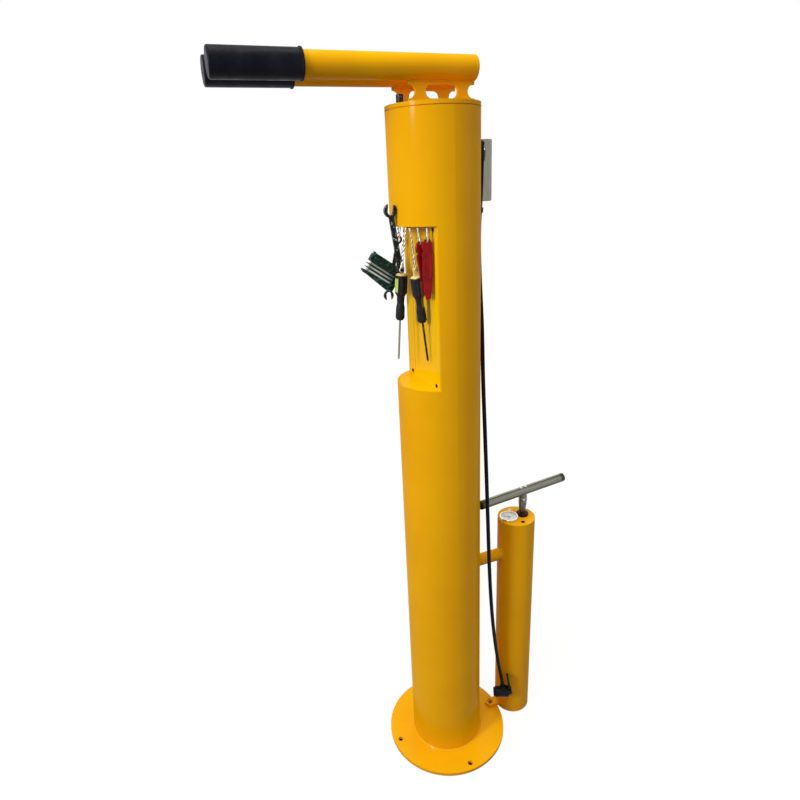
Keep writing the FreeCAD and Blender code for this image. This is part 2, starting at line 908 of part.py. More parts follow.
def build_gauge_case():
    bottom = casing_top - gauge_depth
    cup = cylinder(gauge_r, gauge_depth, gauge_axis(bottom))
    bezel = cylinder(bezel_r, bezel_h, gauge_axis(casing_top))
    edges = [e for e in bezel.Edges if e.BoundBox.ZMin > casing_top + bezel_h - 0.1]
    bezel = bezel.makeFillet(1.2, edges)
    stem = cylinder(stem_r, stem_l, gauge_axis(bottom - stem_l))
    hollow = cylinder(gauge_r - gauge_wall, gauge_depth, gauge_axis(bottom + gauge_wall))
    well = cylinder(dial_r, bezel_h, gauge_axis(casing_top + bezel_floor))
    return join([cup, bezel, stem]).cut([hollow, well])


def build_gauge_dial():
    seat = gauge_axis(casing_top + bezel_floor)
    return tube(dial_r, needle_hub_r + running_clear, dial_t, seat)


def build_gauge_needle():
    lift = casing_top + bezel_floor + dial_t + needle_lift
    shaft = cylinder(needle_hub_r, 10.0, gauge_axis(lift - 10.0))
    hub = cylinder(2 * needle_hub_r, needle_t, gauge_axis(lift))
    points = [V(-5, -1.1, 0), V(-5, 1.1, 0), V(needle_l, 0.3, 0), V(needle_l, -0.3, 0)]
    pointer = moved(extrude(points, V(0, 0, needle_t)), gauge_axis(lift))
    pointer = turned(pointer, -135, Z_AXIS, gauge_axis(0))
    return join([shaft, hub, pointer])


def build_gauge_glass():
    top = casing_top + bezel_h
    return cylinder(dial_r, glass_t, gauge_axis(top - glass_t - 0.5))


# Strut and air line


def build_strut_tube():
    start = V(0, 0, strut_z)
    strut = tube(strut_r, strut_r - strut_wall, casing_y, start, Y_AXIS)
    strut = strut.cut([cylinder(post_r, cap_top, ORIGIN), cylinder(casing_r, cap_top, casing_axis(0))])
    return strut


def build_air_line():
    stem_foot = casing_top - gauge_depth - stem_l
    riser_route = [
        V(0, rod_y - barrel_r, air_start_z),
        V(0, gauge_y, air_start_z),
        V(0, gauge_y, stem_foot),
    ]
    branch_route = [
        V(0, gauge_y, strut_z),
        V(0, air_post_y, strut_z),
        V(outlet.x, air_post_y, outlet.z),
        V(outlet.x, outlet.y - outlet_depth, outlet.z),
    ]
    riser = cord("air line riser", riser_route, air_r, 10.0)
    branch = cord("air line branch", branch_route, air_r, air_bend)
    return group([riser, branch.cut(riser)])


# Pump head


def head_place(shape):
    """Turn a shape built along Y into the pump head's direction and put it there."""
    return moved(turned(shape, head_turn, Z_AXIS), head_at)


def head_pin():
    """Return the lever's pivot pin between the ears."""
    return cylinder(pivot_r, 2 * ear_x[1], V(-ear_x[1], pivot_y, pivot_z), X_AXIS)


def build_pump_head_body(hose):
    start = head_y[0]
    body = cylinder(head_r, head_y[1] - start, V(0, start, 0), Y_AXIS)
    rims = [e for e in body.Edges if e.BoundBox.YMax - e.BoundBox.YMin < 0.1]
    body = body.makeFillet(head_edge, rims)
    nose = cylinder(seal_r + 2.5, 3.0, V(0, start - 3.0, 0), Y_AXIS)
    neck = cylinder(head_neck_r, head_neck_top, ORIGIN)
    ears = []
    for side in (-1, 1):
        x = sorted((side * ear_x[0], side * ear_x[1]))
        ear = cylinder(ear_r, ear_x[1] - ear_x[0], V(x[0], pivot_y, pivot_z), X_AXIS)
        root = block(x, (0, pivot_y), (pivot_z - ear_r, pivot_z + ear_r))
        ears += [ear, root]
    solid = join([body, nose, neck, head_pin()] + ears)
    pocket = cylinder(seal_r, seal_depth, V(0, start - 3.0, 0), Y_AXIS)
    gap_x = (-ear_x[0], ear_x[0])
    gap = block(gap_x, (pivot_y - 7.5, pivot_y + 10), (-head_r, head_r))
    return head_place(join([solid.cut([pocket, gap]), head_pin()])).cut(hose)


def build_pump_head_seal():
    return head_place(tube(seal_r, seal_hole_r, seal_depth, V(0, head_y[0] - 3.0, 0), Y_AXIS))


def build_pump_head_lever():
    half = ear_x[0] - body_clear
    knuckle = cylinder(6.0, 2 * half, V(-half, pivot_y, pivot_z), X_AXIS)
    outline = [
        V(-half, 0, 0),
        V(half, 0, 0),
        V(half, 0, 26),
        V(8.5, 0, 36),
        V(8.5, 0, lever_l - 4),
        V(5.5, 0, lever_l),
        V(-5.5, 0, lever_l),
        V(-8.5, 0, lever_l - 4),
        V(-8.5, 0, 36),
        V(-half, 0, 26),
    ]
    blade = moved(extrude(outline, V(0, lever_t, 0)), V(0, pivot_y, pivot_z))
    blade = turned(blade, lever_lean, X_AXIS, V(0, pivot_y, pivot_z))
    hole = cylinder(pivot_r + running_clear, 2 * half, V(-half, pivot_y, pivot_z), X_AXIS)
    return head_place(join([knuckle, blade]).cut(hole))


# Hanging tools, each built down from its pivot


def tether(eye_depth, loop_axis, ring_r=loop_r):
    """Return a tether: ball, cable, ferrule and loop, with the loop's wire at eye_depth."""
    centre = V(0, 0, ring_r - eye_depth)
    loop = Part.makeTorus(ring_r, loop_wire_r, centre, loop_axis)
    joint_z = centre.z + ring_r
    ferrule = cylinder(ferrule_r, cable_ferrule_l, V(0, 0, joint_z))
    line = cylinder(cable_r, -joint_z, V(0, 0, joint_z))
    return join([Part.makeSphere(ball_r, ORIGIN), line, ferrule, loop])


def hang(shape, name, lean, yaw=0.0):
    """Hang a tool built along -Z from its grommet, leaning out of the window."""
    x, y = tether_at[name]
    shape = turned(turned(shape, yaw, Z_AXIS), -lean)
    return moved(shape, V(x, y, window_z[1] - pivot_drop))


def driver_handle_shape():
    top = V(0, 0, -driver_top)
    grip = spun(driver_profile, top)
    flutes = []
    for step in range(driver_flutes):
        angle = math.radians(360.0 / driver_flutes * step + 30)
        x = driver_flute_at * math.cos(angle)
        y = driver_flute_at * math.sin(angle)
        length = driver_flute_z[1] - driver_flute_z[0]
        flutes.append(cylinder(driver_flute_r, length, top + V(x, y, -driver_flute_z[1])))
    grip = grip.cut(flutes)
    thick, wide = driver_tab
    tab_top = -(driver_eye - eye_edge)
    tab = block((-thick / 2, thick / 2), (-wide / 2, wide / 2), (-driver_top - 2, tab_top - wide / 2))
    tab_end = cylinder(wide / 2, thick, V(-thick / 2, 0, tab_top - wide / 2), X_AXIS)
    hole = cylinder(eye_r, thick, V(-thick / 2, 0, -driver_eye), X_AXIS)
    bore = cylinder(blade_r, blade_end, V(0, 0, -driver_top - blade_root - blade_end))
    return join([grip, tab, tab_end]).cut([hole, bore])


def flat_blade_shape():
    length = blade_end - driver_top - blade_root
    shaft = cylinder(blade_r, length, V(0, 0, -blade_end))
    tip = []
    for side in (-1, 1):
        y = sorted((side * 0.4, side * 3.0))
        low = -blade_end
        points = [V(-3, side * 0.4, low), V(-3, side * 3.0, low), V(-3, side * 3.0, low + blade_tip_l)]
        tip.append(extrude(points, V(6, 0, 0)))
    return shaft.cut(tip)


def cross_blade_shape():
    length = blade_end - driver_top - blade_root
    shaft = cylinder(blade_r, length - 4, V(0, 0, 4 - blade_end))
    point = Part.makeCone(0.7, blade_r, 4, V(0, 0, -blade_end))
    cutters = []
    for step in range(4):
        angle = 90.0 * step + 45
        wedge = turned(block((0.6, 4), (0.6, 4), (-blade_end, 7 - blade_end)), angle - 45, Z_AXIS)
        cutters.append(wedge)
    return join([shaft, point]).cut(cutters)


def tyre_lever_shape():
    """Return a tyre lever: the common part of a front outline and a bent side profile."""
    half = lever_width / 2
    low = -lever_long
    front = [
        V(-4, -20, 0),
        V(4, -20, 0),
        V(6.5, -20, -3),
        V(half, -20, -9),
        V(half, -20, -62),
        V(half - 3, -20, low + 10),
        V(4.5, -20, low),
        V(-4.5, -20, low),
        V(3 - half, -20, low + 10),
        V(-half, -20, -62),
        V(-half, -20, -9),
        V(-6.5, -20, -3),
    ]
    thin = lever_thick / 2
    side = [
        V(-20, -thin, 0),
        V(-20, thin, 0),
        V(-20, thin, -74),
        V(-20, thin - 4, low),
        V(-20, thin - 6, low),
        V(-20, -thin, -74),
    ]
    body = extrude(front, V(0, 40, 0)).common(extrude(side, V(40, 0, 0)))
    hole = cylinder(eye_r, 2 * lever_thick, V(0, -lever_thick, -eye_edge), Y_AXIS)
    notch = cylinder(lever_notch_r, 2 * lever_thick, V(-half, -lever_thick, -20), Y_AXIS)
    wide, tall, deep = lever_field
    field = block((-wide / 2, wide / 2), (-thin, deep - thin), (-26 - tall, -26))
    return body.cut([hole, notch, field])


def jaw_cutter(width, reach, thickness, at_z, angle=jaw_angle):
    """Return the slot of an open jaw, turned by the usual jaw angle."""
    depth = 2 * reach
    middle = cylinder(width / 2, thickness, V(0, 0, at_z + 2), X_AXIS)
    slot = block((0, thickness), (-width / 2, width / 2), (at_z + 2 - depth, at_z + 2))
    return turned(join([middle, slot]), angle, X_AXIS, V(0, 0, at_z))


def spanner_shape():
    ring_z = -(spanner_eye - loop_wire_r - spanner_slack + spanner_hole_r)
    jaw_z = ring_z - spanner_l
    ring = cylinder(spanner_ring_r, spanner_t, V(0, 0, ring_z), X_AXIS)
    half = spanner_shank / 2
    shank = block((0.5, spanner_t - 0.5), (-half, half), (jaw_z, ring_z))
    head = cylinder(spanner_head_r, spanner_t, V(0, 0, jaw_z), X_AXIS)
    hole = cylinder(spanner_hole_r, spanner_t, V(0, 0, ring_z), X_AXIS)
    body = join([ring, shank, head])
    body = body.cut([hole, jaw_cutter(spanner_jaw, spanner_head_r, spanner_t, jaw_z)])
    return moved(body, V(-spanner_t / 2, 0, 0))


def build_tool_tethers():
    """Return the five tethers that swing with their tools."""
    return {
        "tether_spanner": hang(tether(spanner_eye, Y_AXIS), "spanner", spanner_lean),
        "tether_driver_left": hang(tether(driver_eye, Y_AXIS), "driver_left", driver_lean["left"]),
        "tether_driver_right": hang(tether(driver_eye, Y_AXIS), "driver_right",
                                    driver_lean["right"]),
        "tether_lever_left": lever_tether("left"),
        "tether_lever_right": lever_tether("right"),
    }


def lever_tether(side):
    shape = tether(lever_eye[side], X_AXIS, lever_loop_r[side])
    return hang(shape, "lever_" + side, lever_out[side], lever_yaw[side])


def build_tyre_lever(side):
    shape = moved(tyre_lever_shape(), V(0, 0, -(lever_eye[side] - eye_edge)))
    return hang(shape, "lever_" + side, lever_out[side], lever_yaw[side])


def build_driver(side, shape):
    return hang(shape, "driver_" + side, driver_lean[side])


# Wrench and hex keys on riveted terminals


def terminal(rivet_at, side):
    """Return the cable eye on a rivet: a flat ring and a short neck up the cable."""
    ring = cylinder(terminal_r, terminal_t, rivet_at, X_AXIS * side)
    return ring.cut(cylinder(rivet_r + running_clear, terminal_t, rivet_at, X_AXIS * side))


def cable_to(name, rivet_at, side):
    """Return the tether from its grommet down to the terminal on a rivet."""
    x, y = tether_at[name]
    top = V(x, y, window_z[1])
    foot = rivet_at + X_AXIS * (side * terminal_t / 2)
    direction = unit(top - foot)
    start = foot + direction * (terminal_r - 1)
    line = cylinder(cable_r, (top - start).Length + 2, start, direction)
    ferrule = cylinder(terminal_t / 2, cable_ferrule_l, start, direction)
    print("cable", name, "length %.1f" % (top - foot).Length)
    whole = join([terminal(rivet_at, side), line, ferrule])
    above = block((-post_r, post_r), (-post_r, 0), (window_z[1] - grommet_flange_t, cap_top))
    return whole.cut(above)


def rivet(length, base, side):
    """Return a rivet that starts at base, with a head at its far end."""
    out = X_AXIS * side
    shank = cylinder(rivet_r, length, base, out)
    head = cylinder(rivet_head_r, rivet_head_t, base + out * length, out)
    return [shank, head]


def build_black_wrench():
    tail = cylinder(wrench_tail_r, wrench_t, ORIGIN, X_AXIS)
    half = wrench_shank / 2
    shank = block((0.7, wrench_t - 0.7), (-half, half), (-wrench_l, 0))
    head = cylinder(wrench_head_r, wrench_t, V(0, 0, -wrench_l), X_AXIS)
    jaw = jaw_cutter(wrench_jaw, wrench_head_r, wrench_t, -wrench_l, -jaw_angle)
    wide, deep = wrench_panel
    ends = (wrench_panel_ends[1] - wrench_l, -wrench_panel_ends[0])
    panels = []
    for x in ((0.7, 0.7 + deep), (wrench_t - 0.7 - deep, wrench_t - 0.7)):
        panels.append(block(x, (-wide, wide), ends))
    pin_l = 2 * terminal_gap + terminal_t
    parts = [tail, shank, head] + rivet(pin_l, V(wrench_t, 0, 0), 1)
    return moved(turned(join(parts).cut([jaw] + panels), wrench_swing), wrench_at)


def build_tether_wrench():
    at = wrench_at + V(wrench_t + terminal_gap, 0, 0)
    return cable_to("wrench", at, 1)


def hex_place(shape):
    """Put a shape from the holder's own frame on its place in the window."""
    return moved(turned(shape, hex_turn), hex_at)


def holder_point(y, z):
    """Return a point in the holder's frame on the keys' middle plane."""
    return V(hex_t / 2, y, z)


def key_lane(index):
    """Return where a key starts across the holder."""
    return key_first + key_pitch * index - key_af[index] / 2


def holder_body():
    """Return the moulded holder: a comb with one slot per key and grip grooves on its faces."""
    body = extrude([V(0, y, z) for y, z in hex_outline], V(hex_t, 0, 0))
    rims = [e for e in body.Edges if abs(e.tangentAt(e.FirstParameter).x) < 0.1]
    body = body.makeChamfer(hex_chamfer, rims)
    cutters = []
    for index, size in enumerate(key_af):
        start = key_lane(index)
        lane = (start - key_clear, start + size + key_clear)
        cutters.append(block((-1, hex_t + 1), (hex_root, hex_open), lane))
    wide, deep = hex_groove
    for at in hex_groove_z:
        for x in ((0, deep), (hex_t - deep, hex_t)):
            cutters.append(block(x, hex_groove_y, (at - wide / 2, at + wide / 2)))
    return body.cut(cutters)


def holder_pin():
    """Return the keys' pin across the holder, with its two heads."""
    low, high = hex_pin_z
    pin = cylinder(rivet_r, high - low, holder_point(hex_pin_y, low))
    heads = []
    for z in (low - hex_pin_head_t, high):
        heads.append(cylinder(rivet_head_r, hex_pin_head_t, holder_point(hex_pin_y, z)))
    return [pin] + heads


def holder_rivet():
    """Return the tether's rivet through the holder's inner end."""
    eye = V(0, *hex_eye)
    return rivet(2 * terminal_gap + terminal_t, eye, -1) + rivet(hex_t, eye, 1)


def build_hex_scales():
    return hex_place(join([holder_body()] + holder_pin() + holder_rivet()))


def hex_rivet():
    """Return the place of the tether's rivet on the holder."""
    turn = FreeCAD.Rotation(X_AXIS, hex_turn)
    return hex_at + turn.multVec(V(0, *hex_eye))


def build_tether_hex():
    return cable_to("hex", hex_rivet() + V(-terminal_gap, 0, 0), -1)


def build_hex_key(index):
    """Return one folding key folded between the scales."""
    size = key_af[index]
    pin = holder_point(hex_pin_y, key_lane(index))
    eye = cylinder(key_eye_r, size, pin)
    length = key_reach - 3
    bar = hex_prism(size, length, pin + V(0, -key_reach, size / 2), Y_AXIS)
    hole = cylinder(rivet_r + running_clear, size, pin)
    return hex_place(join([eye, bar]).cut(hole))


def build_nodes():
    """Return every node of the station by name."""
    hose = build_hose()
    nodes = {
        "base_flange": build_base_flange(),
        "post_tube": build_post_tube(),
        "window_insert": build_window_insert(),
        "cover_screws": build_cover_screws(),
        "tether_grommets": build_tether_grommets(),
        "cable_guide_bar": build_cable_guide_bar(),
        "tether_runs": build_tether_runs(),
        "tether_weights": build_tether_weights(),
        "cap_plate": build_cap_plate(),
        "cap_lock_bolt": build_cap_lock_bolt(),
        "hanger_plate": build_hanger_plate(),
        "outlet_elbow": build_outlet_elbow(),
        "hose": hose,
        "hose_clip": build_hose_clip(hose),
        "pump_head_body": build_pump_head_body(hose),
        "pump_head_seal": build_pump_head_seal(),
        "pump_head_lever": build_pump_head_lever(),
        "pump_casing": build_pump_casing(),
        "pump_lug": build_pump_lug(),
        "pump_top_plate": build_pump_top_plate(),
        "rod_gland": build_rod_gland(),
        "pump_barrel": build_pump_barrel(),
        "piston": build_piston(),
        "piston_seal": build_piston_seal(),
        "pump_rod": build_pump_rod(),
        "handle_clevis": build_handle_clevis(),
        "clevis_bolts": build_clevis_bolts(),
        "handle_bar": build_handle_bar(),
        "handle_end_plugs": build_handle_end_plugs(),
        "gauge_case": build_gauge_case(),
        "gauge_dial": build_gauge_dial(),
        "gauge_needle": build_gauge_needle(),
        "gauge_glass": build_gauge_glass(),
        "strut_tube": build_strut_tube(),
        "air_line": build_air_line(),
        "tether_wrench": build_tether_wrench(),
        "tether_hex": build_tether_hex(),
        "black_wrench": build_black_wrench(),
        "chrome_spanner": hang(spanner_shape(), "spanner", spanner_lean),
        "driver_left_blade": build_driver("left", flat_blade_shape()),
        "driver_right_blade": build_driver("right", cross_blade_shape()),
        "hex_scales": build_hex_scales(),
    }
    nodes.update(build_tool_tethers())
    for name, side in (("left", -1), ("right", 1)):
        nodes["arm_bracket_" + name] = build_arm_bracket(side)
        nodes["arm_tube_" + name] = build_arm_tube(side)
        nodes["arm_sleeve_" + name] = build_arm_sleeve(side)
        nodes["tyre_lever_" + name] = build_tyre_lever(name)
        nodes["driver_" + name + "_handle"] = build_driver(name, driver_handle_shape())
    for index in range(len(key_af)):
        nodes["hex_key_" + str(index + 1)] = build_hex_key(index)
    return nodes


os.makedirs("parts", exist_ok=True)
for node_name, node_shape in build_nodes().items():
    if not node_shape.isValid():
        print("invalid shape", node_name)
    node_shape.exportStep("parts/" + node_name + ".step")
print("exported")
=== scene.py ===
"""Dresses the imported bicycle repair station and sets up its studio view.

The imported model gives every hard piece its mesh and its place. This script gives each piece its
finish, replaces the plain hose, the tool cables and the plain screws with finer ones, adds the
welds and the gauge's marks, and places the camera and the lights.
"""

import logging
import math
from dataclasses import dataclass, field
from enum import Enum
from functools import cache
from itertools import accumulate
from typing import Callable, Sequence

import bmesh
import bpy
from mathutils import Matrix, Vector


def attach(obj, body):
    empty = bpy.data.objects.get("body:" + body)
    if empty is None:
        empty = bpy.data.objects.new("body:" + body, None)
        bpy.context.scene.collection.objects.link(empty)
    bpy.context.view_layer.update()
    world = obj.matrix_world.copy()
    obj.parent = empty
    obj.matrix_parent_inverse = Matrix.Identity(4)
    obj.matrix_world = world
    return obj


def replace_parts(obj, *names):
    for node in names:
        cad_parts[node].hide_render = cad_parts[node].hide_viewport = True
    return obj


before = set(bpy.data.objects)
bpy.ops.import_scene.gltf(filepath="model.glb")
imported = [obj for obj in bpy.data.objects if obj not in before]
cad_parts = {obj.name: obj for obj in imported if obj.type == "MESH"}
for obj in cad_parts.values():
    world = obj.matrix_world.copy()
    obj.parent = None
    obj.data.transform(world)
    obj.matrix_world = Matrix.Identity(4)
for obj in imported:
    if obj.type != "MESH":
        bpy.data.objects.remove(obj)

LOG = logging.getLogger("station")

MM = 0.001
POST_R = 84.15 * MM
FLANGE_TOP = 8.0 * MM
CAP_TOP = 1444.0 * MM
ARM_X = 36.0 * MM
ARM_Z = 1496.2 * MM
ARM_R = 20.0 * MM
WINDOW_BACK = -31.8 * MM
PIVOT_Z = 1243.5 * MM
CASING_R = 43.5 * MM
CASING_Y = 193.4 * MM
CASING_TOP = 568.0 * MM
GAUGE_Y = 173.7 * MM
ROD_Y = 210.0 * MM
BAR_Z = 631.5 * MM
BAR_TURN = math.radians(7.0)
BAR_HALF = 120.0 * MM

X_AXIS = Vector((1.0, 0.0, 0.0))
Y_AXIS = Vector((0.0, 1.0, 0.0))
Z_AXIS = Vector((0.0, 0.0, 1.0))

Colour = tuple[float, float, float]
Socket = bpy.types.NodeSocket
Material = bpy.types.Material
Piece = bpy.types.Object
Mesh = bmesh.types.BMesh


class Pattern(Enum):
    """Procedural patterns that a finish can draw on."""

    NOISE = "ShaderNodeTexNoise"
    CELLS = "ShaderNodeTexVoronoi"
    BANDS = "ShaderNodeTexWave"


class Graph:
    """A thin wrapper that builds the node tree of one material or of the surround."""

    def __init__(self, name: str, world: bpy.types.World | None = None) -> None:
        """Start a tree with coordinates.

        Args:
            name: The name of the material.
            world: The surround to build in, in place of a material.
        """
        self.owner = world or bpy.data.materials.new(name)
        self.owner.use_nodes = True
        self.tree = self.owner.node_tree
        texture = self.node("ShaderNodeTexCoord")
        self.coords = texture.outputs["Generated" if world else "Object"]

    def node(self, kind: str, feeds: dict[str | int, object] | None = None,
             **settings: object) -> bpy.types.Node:
        """Add a node, set its attributes and feed its inputs.

        Args:
            kind: The node's type name.
            feeds: A socket or a plain value for each input.
            **settings: Attributes to set on the node.

        Returns:
            The new node.
        """
        new = self.tree.nodes.new(kind)
        for key, value in settings.items():
            setattr(new, key, value)
        self.feed(new, feeds or {})
        return new

    def feed(self, node: bpy.types.Node, feeds: dict[str | int, object]) -> None:
        """Connect sockets to a node's inputs, or set plain values on them.

        Args:
            node: The node.
            feeds: A socket or a plain value for each input.
        """
        for key, source in feeds.items():
            if isinstance(source, Socket):
                self.tree.links.new(source, node.inputs[key])
            else:
                node.inputs[key].default_value = source

    def first(self, kind: str) -> bpy.types.Node:
        """Return the tree's first node of a kind."""
        return next(n for n in self.tree.nodes if n.type == kind)

    def mapped(self, scale: Sequence[float], place: Matrix | None = None) -> Socket:
        """Return coordinates in a piece's own frame, scaled along its axes.

        Args:
            scale: Factors along X, Y and Z.
            place: The matrix that puts the piece from its own frame in the row frame.

        Returns:
            The mapped vector socket.
        """
        vector = self.coords
        if place is not None:
            inverse = place.inverted()
            turn = {"Location": inverse.translation, "Rotation": inverse.to_euler("XYZ")}
            vector = self.node("ShaderNodeMapping", {"Vector": vector, **turn}).outputs[0]
        return self.node("ShaderNodeMapping", {"Vector": vector, "Scale": scale}).outputs[0]

    def pattern(self, kind: Pattern, scale: float, vector: Socket | None = None,
                detail: float = 3.0) -> Socket:
        """Add a pattern and return its value between 0 and 1.

        Args:
            kind: The pattern.
            scale: Cells in a metre.
            vector: Coordinates, the object's own by default.
            detail: Octaves of noise.

        Returns:
            The pattern's value socket.
        """
        cells = kind is Pattern.CELLS
        feeds = {"Scale": scale, "Vector": vector or self.coords}
        if not cells:
            feeds["Detail"] = detail
        return self.node(kind.value, feeds).outputs["Distance" if cells else "Fac"]

    def ramp(self, value: Socket, low: float, high: float, first: float = 0.0,
             second: float = 1.0) -> Socket:
        """Map a value from one range to another, clamped.

        Args:
            value: The input value.
            low: Input that gives the first output.
            high: Input that gives the second output.
            first: The output at low.
            second: The output at high.

        Returns:
            The mapped value socket.
        """
        feeds = {"Value": value, "From Min": low, "From Max": high, "To Min": first,
                 "To Max": second}
        return self.node("ShaderNodeMapRange", feeds).outputs["Result"]

    def noise(self, scale: float, low: float, high: float, first: float = 0.0,
              second: float = 1.0, detail: float = 3.0) -> Socket:
        """Return noise mapped to a range, with the arguments of pattern and ramp."""
        noise = self.pattern(Pattern.NOISE, scale, detail=detail)
        return self.ramp(noise, low, high, first, second)

    def blend(self, factor: Socket, base: Colour | Socket, top: Colour) -> Socket:
        """Lay a plain colour over a base by a factor.

        Args:
            factor: How much of the top colour shows.
            base: The colour below, plain or a socket.
            top: The colour on top.

        Returns:
            The mixed colour socket.
        """
        below = (*base, 1.0) if isinstance(base, tuple) else base
        feeds = {"A": below, "B": (*top, 1.0), "Factor": factor}
        return self.node("ShaderNodeMix", feeds, data_type="RGBA").outputs["Result"]

    def math(self, operation: str, first: Socket | float, second: Socket | float = 0.0) -> Socket:
        """Return the result of an operation on one or two values."""
        return self.node("ShaderNodeMath", {0: first, 1: second}, operation=operation).outputs[0]

    def scaled(self, value: Socket, factor: Socket | float) -> Socket:
        """Return a value times a factor."""
        return self.math("MULTIPLY", value, factor)

    def axes(self, vector: Socket | None = None) -> list[Socket]:
        """Return a vector's X, Y and Z values, the object's own coordinates by default."""
        return list(self.node("ShaderNodeSeparateXYZ", {0: vector or self.coords}).outputs)

    def soft_normal(self, radius: float) -> Socket:
        """Return a normal that rounds the edges of the mesh by a radius in metres."""
        return self.node("ShaderNodeBevel", {"Radius": radius}, samples=4).outputs["Normal"]

    def edges(self, radius: float) -> Socket:
        """Return a mask that is 1 on the edges of the mesh.

        Args:
            radius: How far the mask reaches in metres.

        Returns:
            The mask socket.
        """
        flat = self.node("ShaderNodeNewGeometry").outputs["Normal"]
        dot = self.node("ShaderNodeVectorMath", {0: self.soft_normal(radius), 1: flat},
                        operation="DOT_PRODUCT")
        return self.ramp(dot.outputs["Value"], 0.985, 0.85)

    def bump(self, height: Socket, distance: float, strength: float,
             below: Socket | None = None) -> Socket:
        """Turn a height into a normal.

        Args:
            height: The height between 0 and 1.
            distance: Its full height in metres.
            strength: How much of it shows.
            below: A normal to add it to.

        Returns:
            The normal socket.
        """
        feeds = {"Height": height, "Distance": distance, "Strength": strength}
        if below is not None:
            feeds["Normal"] = below
        return self.node("ShaderNodeBump", feeds).outputs["Normal"]

    def finish(self, colour: Socket, roughness: Socket, normal: Socket,
               **values: float) -> Material:
        """Connect the three main channels and set plain values on the shader.

        Args:
            colour: The base colour.
            roughness: The roughness.
            normal: The normal.
            **values: Shader inputs by name with underscores for spaces.

        Returns:
            The finished material.
        """
        feeds = {"Base Color": colour, "Roughness": roughness, "Normal": normal}
        plain = {key.replace("_", " "): value for key, value in values.items()}
        self.feed(self.first("BSDF_PRINCIPLED"), feeds | plain)
        return self.owner

    def white_rays(self) -> Socket:
        """Pick the rays that show the white surround: camera, glossy and transmission.

        Returns:
            A socket that is 1 for those rays.
        """
        path = self.node("ShaderNodeLightPath").outputs
        either = self.math("MAXIMUM", path["Is Camera Ray"], path["Is Glossy Ray"])
        return self.math("MAXIMUM", either, path["Is Transmission Ray"])

    def surface(self, factor: Socket, first: Socket, second: Socket, output: str) -> None:
        """Send a mix of two shaders to the output node of a kind."""
        mixer = self.node("ShaderNodeMixShader", {0: factor, 1: first, 2: second})
        self.feed(self.first(output), {"Surface": mixer.outputs[0]})


@dataclass(frozen=True)
class PowderCoat:
    """Gloss powder coat: orange peel, faint clouding, dust near the floor, pale thin edges."""

    name: str
    colour: Colour = (0.88, 0.43, 0.0)
    deep: Colour = (0.82, 0.375, 0.0)
    thin: Colour = (0.92, 0.52, 0.03)
    dust: Colour = (0.50, 0.30, 0.07)
    chip: Colour = (0.22, 0.15, 0.08)
    roughness: float = 0.24

    def build(self) -> Material:
        """Build the material.

        Returns:
            The finished material.
        """
        graph = Graph(self.name)
        colour = graph.blend(graph.noise(6.0, 0.35, 0.7), self.colour, self.deep)
        edge = graph.edges(0.0012)
        colour = graph.blend(graph.scaled(edge, 0.45), colour, self.thin)
        near_floor = graph.ramp(graph.axes()[2], 0.0, 0.16, 0.10, 0.02)
        grime = graph.pattern(Pattern.NOISE, 48.0, detail=6.0)
        colour = graph.blend(graph.scaled(grime, near_floor), colour, self.dust)
        colour = graph.blend(graph.noise(310.0, 0.70, 0.74, 0.0, 0.0875), colour, self.deep)
        chips = graph.noise(150.0, 0.66, 0.69, detail=5.0)
        colour = graph.blend(graph.scaled(chips, edge), colour, self.chip)
        wipe = graph.pattern(Pattern.NOISE, 24.0, graph.mapped((1.0, 1.0, 0.25)), 5.0)
        rough = graph.ramp(wipe, 0.25, 0.75, self.roughness - 0.06, self.roughness + 0.08)
        waves = graph.bump(graph.pattern(Pattern.NOISE, 30.0), 0.0004, 0.2,
                           graph.soft_normal(0.0008))
        peel = graph.bump(graph.pattern(Pattern.NOISE, 480.0, detail=1.0), 0.00005, 1.0, waves)
        return graph.finish(colour, rough, peel, Specular_IOR_Level=0.0, Coat_Weight=0.12,
                            Coat_Roughness=0.12)


@dataclass(frozen=True)
class MouldedRubber:
    """Dark rubber with a fine grain and rubbed patches."""

    name: str
    colour: Colour = (0.0025, 0.0027, 0.0065)
    rubbed: Colour = (0.009, 0.009, 0.015)
    roughness: float = 0.42
    grain: float = 1400.0
    depth: float = 0.00012

    def build(self) -> Material:
        """Build the material.

        Returns:
            The finished material.
        """
        graph = Graph(self.name)
        colour = graph.blend(graph.noise(38.0, 0.48, 0.72, detail=5.0), self.colour, self.rubbed)
        colour = graph.blend(graph.scaled(graph.edges(0.0010), 0.5), colour, self.rubbed)
        rough = graph.noise(70.0, 0.2, 0.8, self.roughness - 0.1, self.roughness + 0.12)
        grain = graph.bump(graph.pattern(Pattern.CELLS, self.grain), self.depth, 0.6,
                           graph.soft_normal(0.0008))
        return graph.finish(colour, rough, grain, Specular_IOR_Level=0.08)


